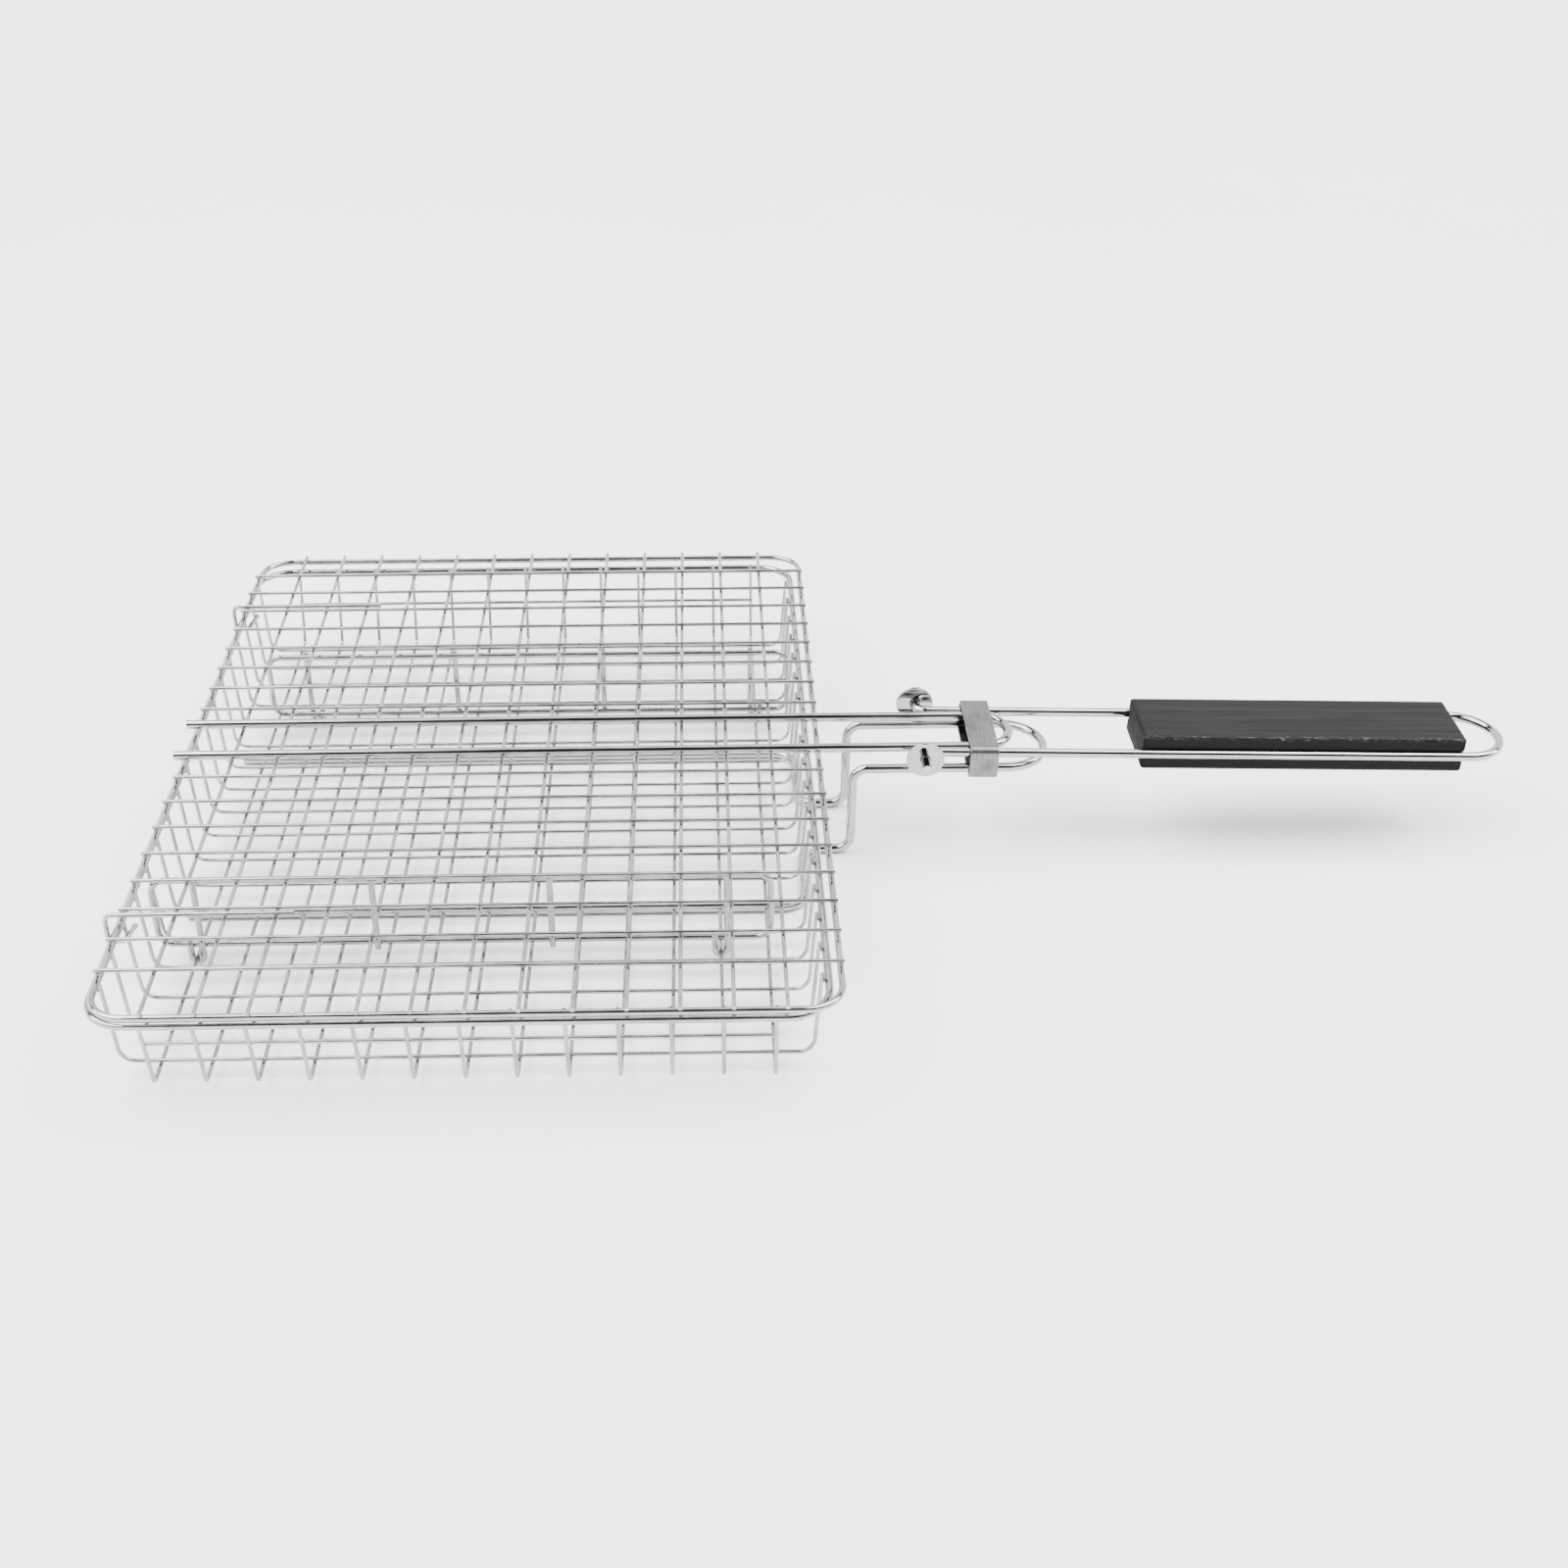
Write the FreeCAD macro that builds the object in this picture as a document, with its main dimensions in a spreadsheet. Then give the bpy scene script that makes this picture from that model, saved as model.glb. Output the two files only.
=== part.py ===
"""Grill basket with a hinged lid, two dividers, a drawn-off handle and a sliding lock clip.

Frame: +X runs along the handle towards the grip, +Y is to the side, +Z is up.  The origin is
the middle of the whole part's box on the surface it stands on.  Millimetres.

Every wire is a sketched path of straight runs and round bends, swept by a circle.  The sizes
are in the sheet "sizes"; each sketch, pad, pattern and placement is bound to its cells.
"""
import FreeCAD, Part
import math
import os
import Sketcher

Vector = FreeCAD.Vector

SIZES = {
    # wire diameters, and the gap left between wires that are spot welded to each other
    "mesh_wire": 1.6, "frame_wire": 2.6, "rim_wire": 3.2, "thick_wire": 4.0,
    "hook_wire": 2.0, "divider_wire": 2.6, "weld_gap": 0.02,
    # the square mesh of the basket and of the lid
    "mesh_pitch": 19.0, "cross_wires": 13, "side_long_wires": 9, "side_lid_wires": 8,
    # basket: half sizes at the rim's centre line and at the floor's corners
    "rim_half_long": 133.5, "rim_half_wide": 183.0, "rim_height": 39.6, "rim_corner": 16.0,
    "floor_half_long": 128.5, "floor_half_wide": 172.4, "wire_stand_up": 1.4,
    "cross_bend": 2.6, "wall_root": 1.0, "long_bend": 6.0, "stiffener_height": 25.5,
    # lid: it sits a little towards the handle
    "lid_shift": 3.5, "lid_half_long": 134.3, "lid_half_wide": 184.8, "lid_height": 44.5,
    "lid_corner": 14.0,
    # the two tongues that the clip holds together
    "lid_tongue_half": 13.0, "lid_tongue_left": 134.6, "lid_tongue_tip": 219.9,
    "tongue_half": 18.5, "tongue_left": 125.0, "tongue_wide_half": 62.0, "tongue_neck": 131.0,
    "tongue_rise": 152.0, "tongue_top": 42.2, "tongue_tip": 235.4,
    "shoulder_bend": 10.0, "neck_bend": 7.0, "rise_bend": 6.5,
    # hinge hooks: shape measured from the rim rod that they turn on
    "hook_side": 127.5, "hook_length": 68.0, "hook_play": 0.5, "hook_bend": 2.9,
    "hook_tail_out": 8.3, "hook_tail_up": 4.3,
    # dividers: wire panels whose feet hook under the floor's cross wires
    "divider_side": 92.0, "divider_half_long": 122.0, "divider_top": 39.5,
    "divider_bottom": 9.0, "divider_corner": 6.0, "foot_play": 0.3, "foot_stub": 11.0,
    "foot_steps": 11, "first_foot": -5,
    # handle: a wire loop whose cross bends carry the discs, drooping by a small angle
    "handle_start": 182.0, "handle_height": 49.7, "handle_droop": 1.4, "handle_half": 17.5,
    "handle_tip": 250.7, "handle_bend": 4.5, "pin_end": 32.5,
    "disc_diameter": 16.0, "disc_thickness": 1.5, "disc_side": 24.0, "fit_gap": 0.05,
    "grip_start": 93.0, "grip_long": 138.0, "grip_wide": 34.0, "grip_high": 16.0,
    "grip_round": 1.5, "groove_radius": 2.15,
    # lock clip: a closed flat band round the handle wires and both tongues
    "clip_start": 19.3, "clip_long": 12.0, "clip_sheet": 1.2, "clip_half": 21.0,
    "clip_above": 2.95, "clip_below": 9.7, "clip_corner": 2.0,
}

# Derived sizes, as expressions on the sheet's cells
CROSS_FLOOR = "(sizes.thick_wire + sizes.weld_gap + sizes.mesh_wire / 2)"
LONG_FLOOR = f"({CROSS_FLOOR} + sizes.mesh_wire + sizes.weld_gap)"
RIM_INSIDE = "(sizes.rim_wire / 2 + sizes.mesh_wire / 2 + sizes.weld_gap)"
WIRE_TOP = "(sizes.rim_height + sizes.rim_wire / 2 + sizes.wire_stand_up)"
CROSS_TOP = f"(sizes.rim_half_wide - {RIM_INSIDE})"
LONG_TOP = f"(sizes.rim_half_long - {RIM_INSIDE})"
WALL_OUT, WALL_UP = f"({CROSS_TOP} - sizes.floor_half_wide)", f"({WIRE_TOP} - {CROSS_FLOOR})"
WALL_LEAN = f"atan({WALL_OUT} / {WALL_UP})"
WALL_LENGTH = f"sqrt({WALL_OUT} ^ 2 + {WALL_UP} ^ 2)"
WALL_ROOT = f"(sizes.cross_bend * tan((90deg - {WALL_LEAN}) / 2) + sizes.wall_root)"
LID_CROSS = "(sizes.lid_height + sizes.frame_wire / 2 + sizes.mesh_wire / 2 + sizes.weld_gap)"
LID_LONG = f"({LID_CROSS} + sizes.mesh_wire + sizes.weld_gap)"
LID_TONGUE = f"({LID_CROSS} + sizes.mesh_wire / 2 + sizes.thick_wire / 2 + sizes.weld_gap)"
HOOK_HEIGHT = f"({LID_CROSS} + sizes.mesh_wire / 2 + sizes.hook_wire / 2 + sizes.weld_gap)"
HOOK_REACH = "(sizes.rim_wire / 2 + sizes.hook_wire / 2 + sizes.hook_play)"
FOOT_REACH = "(sizes.mesh_wire / 2 + sizes.divider_wire / 2 + sizes.foot_play)"
PART_LEFT = f"(-sizes.rim_half_long - {HOOK_REACH} - sizes.hook_wire / 2)"
PART_RIGHT = ("(sizes.handle_start + sizes.handle_tip * cos(sizes.handle_droop * 1deg) "
              "+ sizes.thick_wire / 2)")
SHIFT = f"(-({PART_LEFT} + {PART_RIGHT}) / 2)"

doc = FreeCAD.newDocument("grill_basket")
sheet = doc.addObject("Spreadsheet::Sheet", "sizes")
SUBPARTS = {}


def fill_sheet():
    """Write each driving dimension and its alias into the sheet."""
    for row, (alias, number) in enumerate(SIZES.items(), start=1):
        sheet.set(f"A{row}", alias)
        sheet.set(f"B{row}", str(number))
        sheet.setAlias(f"B{row}", alias)
    doc.recompute()


def value(expression):
    """The number that an expression on the sheet comes to."""
    result = sheet.evalExpression(str(expression).replace("sizes.", ""))
    return float(getattr(result, "Value", result))


def plane(body, role):
    """A body's own origin plane or axis, by its role."""
    return next(item for item in body.Origin.OriginFeatures if item.Role == role)


def new_body(label):
    """A body that may hold several separate solids, moved so that the part's box is centred."""
    body = doc.addObject("PartDesign::Body", label)
    body.Label = label
    body.AllowCompound = True
    body.setExpression("Placement.Base.x", SHIFT)
    SUBPARTS[label] = body
    return body


def place(body, **offsets):
    """Bind a body's place, over and above the shift that centres the part."""
    for axis, expression in offsets.items():
        full = f"{SHIFT} + {expression}" if axis == "x" else expression
        body.setExpression(f"Placement.Base.{axis}", full)


def turn(body, axis, angle):
    """Bind a body's turn about an axis through its own zero."""
    for name, part in zip("xyz", axis):
        body.setExpression(f"Placement.Rotation.Axis.{name}", str(part))
    body.setExpression("Placement.Rotation.Angle", angle)


def droop(body):
    """Turn a handle piece down about its cross bends, by the handle's droop."""
    turn(body, (0, 1, 0), "sizes.handle_droop * 1deg")
    place(body, x="sizes.handle_start", z="sizes.handle_height")


def new_sketch(body, name, role):
    """A sketch on one of the body's origin planes."""
    sketch = body.newObject("Sketcher::SketchObject", name)
    sketch.AttachmentSupport = [(plane(body, role), "")]
    sketch.MapMode = "FlatFace"
    return sketch


def bind(sketch, kind, name, expression, *geometry):
    """Add a named constraint whose value follows an expression."""
    index = sketch.addConstraint(Sketcher.Constraint(kind, *geometry, value(expression)))
    sketch.renameConstraint(index, name)
    sketch.setExpression(f"Constraints.{name}", expression)


def bind_point(sketch, name, geometry, end, corner):
    """Bind one point of a sketch to a pair of expressions."""
    bind(sketch, "DistanceX", f"{name}_x", corner[0], -1, 1, geometry, end)
    bind(sketch, "DistanceY", f"{name}_y", corner[1], -1, 1, geometry, end)


def rounded_path(sketch, corners, radii, closed=False, tag="corner"):
    """Straight runs between corners, with a tangent arc at each; returns the edges' count.

    corners are pairs of expressions and radii is one expression for each bend.  A marked
    point holds each corner, the two runs pass through it and the arc is tangent to both.
    """
    points = [Vector(value(x), value(y), 0) for x, y in corners]
    count = len(points)
    bends = range(count) if closed else range(1, count - 1)
    bend_radius = dict(zip(bends, radii))
    arcs = {}
    for k in bends:
        before = (points[k - 1] - points[k]).normalize()
        after = (points[(k + 1) % count] - points[k]).normalize()
        half_turn = before.getAngle(after) / 2
        radius = value(bend_radius[k])
        reach = radius / math.tan(half_turn)
        inward = (before + after).normalize()
        middle = points[k] + inward * (radius / math.sin(half_turn) - radius)
        arcs[k] = (points[k] + before * reach, middle, points[k] + after * reach)
    runs = {}
    for k in range(count if closed else count - 1):
        follower = (k + 1) % count
        start = arcs[k][2] if k in arcs else points[k]
        end = arcs[follower][0] if follower in arcs else points[follower]
        runs[k] = sketch.addGeometry(Part.LineSegment(start, end))
    for k, (start, middle, end) in arcs.items():
        left_turn = (middle - start).cross(end - middle).z > 0
        ends = (start, end) if left_turn else (end, start)
        first = 1 if left_turn else 2
        arc = sketch.addGeometry(Part.Arc(ends[0], middle, ends[1]))
        mark = sketch.addGeometry(Part.Point(points[k]), True)
        run_in, run_out = runs[(k - 1) % count], runs[k]
        sketch.addConstraint(Sketcher.Constraint("Tangent", run_in, 2, arc, first))
        sketch.addConstraint(Sketcher.Constraint("Tangent", arc, 3 - first, run_out, 1))
        sketch.addConstraint(Sketcher.Constraint("PointOnObject", mark, 1, run_in))
        sketch.addConstraint(Sketcher.Constraint("PointOnObject", mark, 1, run_out))
        bind_point(sketch, f"{tag}{k}", mark, 1, corners[k])
        bind(sketch, "Radius", f"{tag}{k}_bend", bend_radius[k], arc)
    if not closed:
        bind_point(sketch, "start", runs[0], 1, corners[0])
        bind_point(sketch, "finish", runs[count - 2], 2, corners[-1])
    return len(runs) + len(arcs)


def circle(sketch, centre, diameter, name="wire"):
    """A circle bound to its centre and diameter."""
    radius = value(diameter) / 2
    middle = Vector(value(centre[0]), value(centre[1]), 0)
    index = sketch.addGeometry(Part.Circle(middle, Vector(0, 0, 1), radius))
    bind(sketch, "Diameter", f"{name}_diameter", diameter, index)
    bind_point(sketch, name, index, 3, centre)


def bent_wire(label, role, corners, radii, section_role, section_at, diameter, closed=False,
              section_offset=None):
    """A body of one bent wire: a circle swept along a rounded path that lies in a plane."""
    body = new_body(label)
    path = new_sketch(body, f"{label}_path", role)
    edges = rounded_path(path, corners, radii, closed)
    section = new_sketch(body, f"{label}_section", section_role)
    if section_offset:
        section.setExpression("AttachmentOffset.Base.z", section_offset)
    circle(section, section_at, diameter)
    doc.recompute()
    wire = body.newObject("PartDesign::AdditivePipe", f"{label}_wire")
    wire.Profile = section
    wire.Spine = (path, [f"Edge{k + 1}" for k in range(edges)])
    doc.recompute()
    return body, wire


def repeat(body, feature, role, occurrences, pitch="sizes.mesh_pitch"):
    """Repeat a body's feature in a row, one pitch apart, along a plane's normal or an axis."""
    row = body.newObject("PartDesign::LinearPattern", f"{body.Label}_row")
    row.Originals = [feature]
    row.Direction = (plane(body, role), [""])
    row.setExpression("Occurrences", occurrences)
    row.setExpression("Length", f"{pitch} * ({occurrences} - 1)")
    body.Tip = row
    doc.recompute()


def straight_wires(label, role, centres, diameter, length):
    """A body of straight wires, padded both ways from an origin plane."""
    body = new_body(label)
    section = new_sketch(body, f"{label}_section", role)
    for k, centre in enumerate(centres):
        circle(section, centre, diameter, f"wire{k}")
    doc.recompute()
    pad = body.newObject("PartDesign::Pad", f"{label}_pad")
    pad.Profile = section
    pad.SideType = "Symmetric"
    pad.setExpression("Length", length)
    doc.recompute()
    return body, pad


def build_basket_shell():
    """Rim, cross wires, long wires and the two wall stiffeners."""
    long_half, wide_half = "sizes.rim_half_long", "sizes.rim_half_wide"
    rim_loop = [(f"-{long_half}", f"-{wide_half}"), (long_half, f"-{wide_half}"),
                (long_half, wide_half), (f"-{long_half}", wide_half)]
    rim, _ = bent_wire("basket_rim", "XY_Plane", rim_loop, ["sizes.rim_corner"] * 4,
                       "YZ_Plane", (f"-{wide_half}", "0"), "sizes.rim_wire", closed=True)
    place(rim, z="sizes.rim_height")

    bend_side, bend_top = f"({WALL_ROOT} * sin({WALL_LEAN}))", f"({WALL_ROOT} * cos({WALL_LEAN}))"
    floor, root = "sizes.floor_half_wide", f"({CROSS_FLOOR} + {bend_top})"
    cross_path = [(f"-({floor} + {bend_side})", root), (f"-{floor}", CROSS_FLOOR),
                  (floor, CROSS_FLOOR), (f"{floor} + {bend_side}", root)]
    cross, wire = bent_wire("basket_cross_wires", "YZ_Plane", cross_path,
                            ["sizes.cross_bend"] * 2, "XZ_Plane", ("0", CROSS_FLOOR),
                            "sizes.mesh_wire")
    repeat(cross, wire, "YZ_Plane", "sizes.cross_wires")
    first_cross = "(-sizes.mesh_pitch * (sizes.cross_wires - 1) / 2)"
    place(cross, x=first_cross)
    for side, sign in (("near", -1), ("far", 1)):
        wall = new_body(f"basket_wall_wires_{side}")
        section = new_sketch(wall, f"{side}_wall_section", "XY_Plane")
        circle(section, ("0", "0"), "sizes.mesh_wire")
        doc.recompute()
        rise = wall.newObject("PartDesign::Pad", f"{side}_wall_rise")
        rise.Profile = section
        rise.setExpression("Length", f"{WALL_LENGTH} - {WALL_ROOT}")
        repeat(wall, rise, "YZ_Plane", "sizes.cross_wires")
        turn(wall, (1, 0, 0), f"{-sign} * {WALL_LEAN}")
        place(wall, x=first_cross, y=f"{sign} * ({floor} + {bend_side})", z=root)

    floor = "sizes.floor_half_long"
    long_path = [(f"-{LONG_TOP}", WIRE_TOP), (f"-{floor}", LONG_FLOOR),
                 (floor, LONG_FLOOR), (LONG_TOP, WIRE_TOP)]
    for side, first in (("near", "-1 / 2"), ("far", "(sizes.side_long_wires - 1 / 2)")):
        row, wire = bent_wire(f"basket_long_wires_{side}", "XZ_Plane", long_path,
                              ["sizes.long_bend"] * 2, "YZ_Plane", ("0", LONG_FLOOR),
                              "sizes.mesh_wire")
        repeat(row, wire, "XZ_Plane", "sizes.side_long_wires")
        place(row, y=f"{first} * sizes.mesh_pitch")

    level = f"(sizes.stiffener_height - {CROSS_FLOOR})"
    wall = f"(sizes.floor_half_wide + {WALL_OUT} / {WALL_UP} * {level})"
    inset = f"((sizes.mesh_wire + sizes.weld_gap) / cos({WALL_LEAN}))"
    span = "(sizes.mesh_pitch * (sizes.cross_wires - 1) + sizes.mesh_wire)"
    for side, sign in (("near", "-"), ("far", "")):
        bar, _ = straight_wires(f"wall_stiffener_{side}", "YZ_Plane",
                                [(f"{sign}({wall} - {inset})", "sizes.stiffener_height")],
                                "sizes.mesh_wire", span)


def build_bottom_tongue():
    """The thick wire under the floor that necks in, rises and ends in the lower tongue."""
    wide, half = value("sizes.tongue_wide_half"), value("sizes.tongue_half")
    low, top = value("sizes.thick_wire") / 2, value("sizes.tongue_top")
    neck, rise = value("sizes.tongue_neck"), value("sizes.tongue_rise")
    bend_centre = value("sizes.tongue_tip") - half
    side = [Vector(-value("sizes.tongue_left"), wide, low), Vector(neck, wide, low),
            Vector(neck, half, low), Vector(rise, half, low), Vector(rise, half, top),
            Vector(bend_centre, half, top)]
    bends = [value(f"sizes.{name}") for name in
             ("shoulder_bend", "neck_bend", "rise_bend", "rise_bend")]
    far_edges = rounded_edges(side, bends)
    tip = Part.Arc(side[-1], Vector(bend_centre + half, 0, top), mirrored(side[-1])).toShape()
    near_edges = rounded_edges([mirrored(point) for point in side], bends)
    spine = Part.Wire(far_edges + [tip] + near_edges[::-1])
    section = Part.Wire(Part.makeCircle(low, side[0], Vector(1, 0, 0)))
    tongue = doc.addObject("Part::Feature", "bottom_tongue")
    tongue.Label = "bottom_tongue"
    tongue.Shape = spine.makePipeShell([section], True, True)
    tongue.setExpression("Placement.Base.x", SHIFT)
    SUBPARTS["bottom_tongue"] = tongue


def mirrored(point):
    """A point's image on the other side of the middle plane."""
    return Vector(point.x, -point.y, point.z)


def rounded_edges(points, radii):
    """The edges of straight runs in space, with a tangent arc at each inner point."""
    edges, start = [], points[0]
    for before, corner, after, radius in zip(points, points[1:], points[2:], radii):
        back = (before - corner).normalize()
        ahead = (after - corner).normalize()
        half_turn = back.getAngle(ahead) / 2
        reach = radius / math.tan(half_turn)
        middle = corner + (back + ahead).normalize() * (radius / math.sin(half_turn) - radius)
        first, last = corner + back * reach, corner + ahead * reach
        edges += [Part.LineSegment(start, first).toShape(),
                  Part.Arc(first, middle, last).toShape()]
        start = last
    return edges + [Part.LineSegment(start, points[-1]).toShape()]


def build_dividers():
    """Two wire panels along the basket: a loop, a middle rail, plain rods and footed rods.

    Both are one shape: the near one is the far one turned half round an upright axis.
    """
    half, low, high = "sizes.divider_half_long", "sizes.divider_bottom", "sizes.divider_top"
    loop = [(f"-{half}", low), (half, low), (half, high), (f"-{half}", high)]
    wire = "sizes.divider_wire"
    rod_gap = f"({wire} + sizes.weld_gap)"
    span = "(sizes.foot_steps * sizes.mesh_pitch)"
    rod_top = f"({high} + {wire} / 2)"
    first_foot = "(sizes.first_foot * sizes.mesh_pitch)"
    for side, sign in (("near", -1), ("far", 1)):
        middle = f"({sign} * ({first_foot} - {FOOT_REACH} + {span} / 2))"
        panel = f"({sign} * sizes.divider_side)"
        rods = f"({sign} * (sizes.divider_side + {rod_gap}))"

        frame, _ = bent_wire(f"{side}_divider_frame", "XZ_Plane", loop,
                             ["sizes.divider_corner"] * 4, "YZ_Plane", ("0", low), wire,
                             closed=True)
        place(frame, x=middle, y=panel)

        rail, _ = straight_wires(f"{side}_divider_rail", "YZ_Plane",
                                 [("0", f"({low} + {high}) / 2")], wire,
                                 f"2 * {half} - {wire} - 2 * sizes.weld_gap")
        place(rail, x=middle, y=panel)

        plain = new_body(f"{side}_divider_rods")
        section = new_sketch(plain, f"{side}_rods_section", "XY_Plane")
        circle(section, (f"-{span} / 6", "0"), wire, "left")
        circle(section, (f"{span} / 6", "0"), wire, "right")
        doc.recompute()
        pad = plain.newObject("PartDesign::Pad", f"{side}_rods_pad")
        pad.Profile = section
        pad.setExpression("Length", f"{high} - {low} + {wire}")
        place(plain, x=middle, y=rods, z=f"{low} - {wire} / 2")

        hook = [(f"-{FOOT_REACH}", f"{rod_top} - {CROSS_FLOOR}"),
                (f"-{FOOT_REACH}", f"-{FOOT_REACH}"), (FOOT_REACH, f"-{FOOT_REACH}"),
                (FOOT_REACH, f"sizes.foot_stub - {CROSS_FLOOR}")]
        feet, rod = bent_wire(f"{side}_divider_feet", "XZ_Plane", hook,
                              [f"{FOOT_REACH} - 0.2"] * 2, "YZ_Plane",
                              ("0", f"-{FOOT_REACH}"), wire)
        repeat(feet, rod, "YZ_Plane", "2", span)
        turn(feet, (0, 0, 1), f"(1 - ({sign})) * 90deg")
        place(feet, x=f"({sign} * {first_foot})", y=rods, z=CROSS_FLOOR)


def build_lid():
    """Lid frame, its mesh, the upper tongue and the two hooks that turn on the rim."""
    long_half, wide_half = "sizes.lid_half_long", "sizes.lid_half_wide"
    loop = [(f"-{long_half}", f"-{wide_half}"), (long_half, f"-{wide_half}"),
            (long_half, wide_half), (f"-{long_half}", wide_half)]
    frame, _ = bent_wire("lid_frame", "XY_Plane", loop, ["sizes.lid_corner"] * 4,
                         "YZ_Plane", (f"-{wide_half}", "0"), "sizes.frame_wire", closed=True)
    place(frame, x="sizes.lid_shift", z="sizes.lid_height")

    cross, pad = straight_wires("lid_cross_wires", "XZ_Plane", [("0", LID_CROSS)],
                                "sizes.mesh_wire", f"2 * {wide_half} + sizes.frame_wire")
    repeat(cross, pad, "YZ_Plane", "sizes.cross_wires")
    place(cross, x="(sizes.lid_shift - sizes.mesh_pitch * (sizes.cross_wires - 1) / 2)")

    for side, first in (("near", "-3 / 2"), ("far", "(sizes.side_lid_wires + 1 / 2)")):
        row, pad = straight_wires(f"lid_long_wires_{side}", "YZ_Plane", [("0", LID_LONG)],
                                  "sizes.mesh_wire", f"2 * {long_half} + sizes.frame_wire")
        repeat(row, pad, "XZ_Plane", "sizes.side_lid_wires")
        place(row, x="sizes.lid_shift", y=f"{first} * sizes.mesh_pitch")

    half, left, tip = "sizes.lid_tongue_half", "-sizes.lid_tongue_left", "sizes.lid_tongue_tip"
    path = [(left, f"-{half}"), (tip, f"-{half}"), (tip, half), (left, half)]
    tongue, _ = bent_wire("lid_tongue", "XY_Plane", path, [f"{half} - 0.05"] * 2,
                          "XZ_Plane", (tip, "0"), "sizes.thick_wire")
    place(tongue, z=LID_TONGUE)

    above = f"({HOOK_HEIGHT} - sizes.rim_height)"
    path = [("sizes.hook_length", above), (f"-{HOOK_REACH}", above),
            (f"-{HOOK_REACH}", f"-{HOOK_REACH}"), ("sizes.hook_bend", f"-{HOOK_REACH}"),
            ("sizes.hook_tail_out", "sizes.hook_tail_up")]
    for side, sign in (("near", -1), ("far", 1)):
        hook, _ = bent_wire(f"hinge_hook_{side}", "XZ_Plane", path,
                            ["sizes.hook_bend", "sizes.hook_bend", "sizes.hook_bend / 2"],
                            "YZ_Plane", ("0", above), "sizes.hook_wire")
        place(hook, x="(-sizes.rim_half_long)", y=f"{sign} * sizes.hook_side",
              z="sizes.rim_height")


def build_handle():
    """The handle's wire loop, its grip and the two stop discs, all drooping together."""
    half, tip, pin = "sizes.handle_half", "sizes.handle_tip", "sizes.pin_end"
    path = [("0", f"-{pin}"), ("0", f"-{half}"), (tip, f"-{half}"), (tip, half),
            ("0", half), ("0", pin)]
    radii = ["sizes.handle_bend", f"{half} - 0.05", f"{half} - 0.05", "sizes.handle_bend"]
    wire, _ = bent_wire("handle_wire", "XY_Plane", path, radii, "XZ_Plane", ("0", "0"),
                        "sizes.thick_wire", section_offset=pin)
    droop(wire)

    grip = new_body("handle_grip")
    wide, high = "sizes.grip_wide / 2", "sizes.grip_high / 2"
    outline = new_sketch(grip, "grip_outline", "YZ_Plane")
    corners = [(f"-{wide}", f"-{high}"), (wide, f"-{high}"), (wide, high), (f"-{wide}", high)]
    rounded_path(outline, corners, ["sizes.grip_round"] * 4, closed=True)
    grooves = new_sketch(grip, "grip_grooves", "YZ_Plane")
    for name, sign in (("near", -1), ("far", 1)):
        circle(grooves, (f"{sign} * {half}", "0"), "2 * sizes.groove_radius", name)
    doc.recompute()
    block = grip.newObject("PartDesign::Pad", "grip_block")
    block.Profile = outline
    block.setExpression("Length", "sizes.grip_long")
    doc.recompute()
    whole = block.Shape.Volume
    cut = grip.newObject("PartDesign::Pocket", "grip_groove_cut")
    cut.Profile = grooves
    cut.Reversed = True
    cut.setExpression("Length", "sizes.grip_long")
    doc.recompute()
    if cut.Shape.Volume > whole - 1:
        raise RuntimeError("the grip's grooves cut nothing")
    droop(grip)
    place(grip, x="(sizes.handle_start + sizes.grip_start * cos(sizes.handle_droop * 1deg))",
          z="(sizes.handle_height - sizes.grip_start * sin(sizes.handle_droop * 1deg))")

    for side, sign in (("near", -1), ("far", 1)):
        disc = new_body(f"{side}_stop_disc")
        face = new_sketch(disc, f"{side}_disc_face", "XZ_Plane")
        circle(face, ("0", "0"), "sizes.disc_diameter", "rim")
        circle(face, ("0", "0"), "sizes.thick_wire + sizes.fit_gap", "hole")
        doc.recompute()
        plate = disc.newObject("PartDesign::Pad", f"{side}_disc_plate")
        plate.Profile = face
        plate.SideType = "Symmetric"
        plate.setExpression("Length", "sizes.disc_thickness")
        droop(disc)
        place(disc, x="sizes.handle_start", y=f"{sign} * sizes.disc_side",
              z="sizes.handle_height")


def build_clip():
    """The closed band that slides along the handle and holds the two tongues together."""
    clip = new_body("lock_clip")
    section = new_sketch(clip, "clip_section", "YZ_Plane")
    for tag, grow in (("inner", "0"), ("outer", "sizes.clip_sheet")):
        half = f"(sizes.clip_half + {grow})"
        low, high = f"(-sizes.clip_below - {grow})", f"(sizes.clip_above + {grow})"
        corners = [(f"-{half}", low), (half, low), (half, high), (f"-{half}", high)]
        rounded_path(section, corners, [f"sizes.clip_corner + {grow}"] * 4, closed=True, tag=tag)
    doc.recompute()
    band = clip.newObject("PartDesign::Pad", "clip_band")
    band.Profile = section
    band.setExpression("Length", "sizes.clip_long")
    droop(clip)
    place(clip, x="(sizes.handle_start + sizes.clip_start * cos(sizes.handle_droop * 1deg))",
          z="(sizes.handle_height - sizes.clip_start * sin(sizes.handle_droop * 1deg))")


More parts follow.
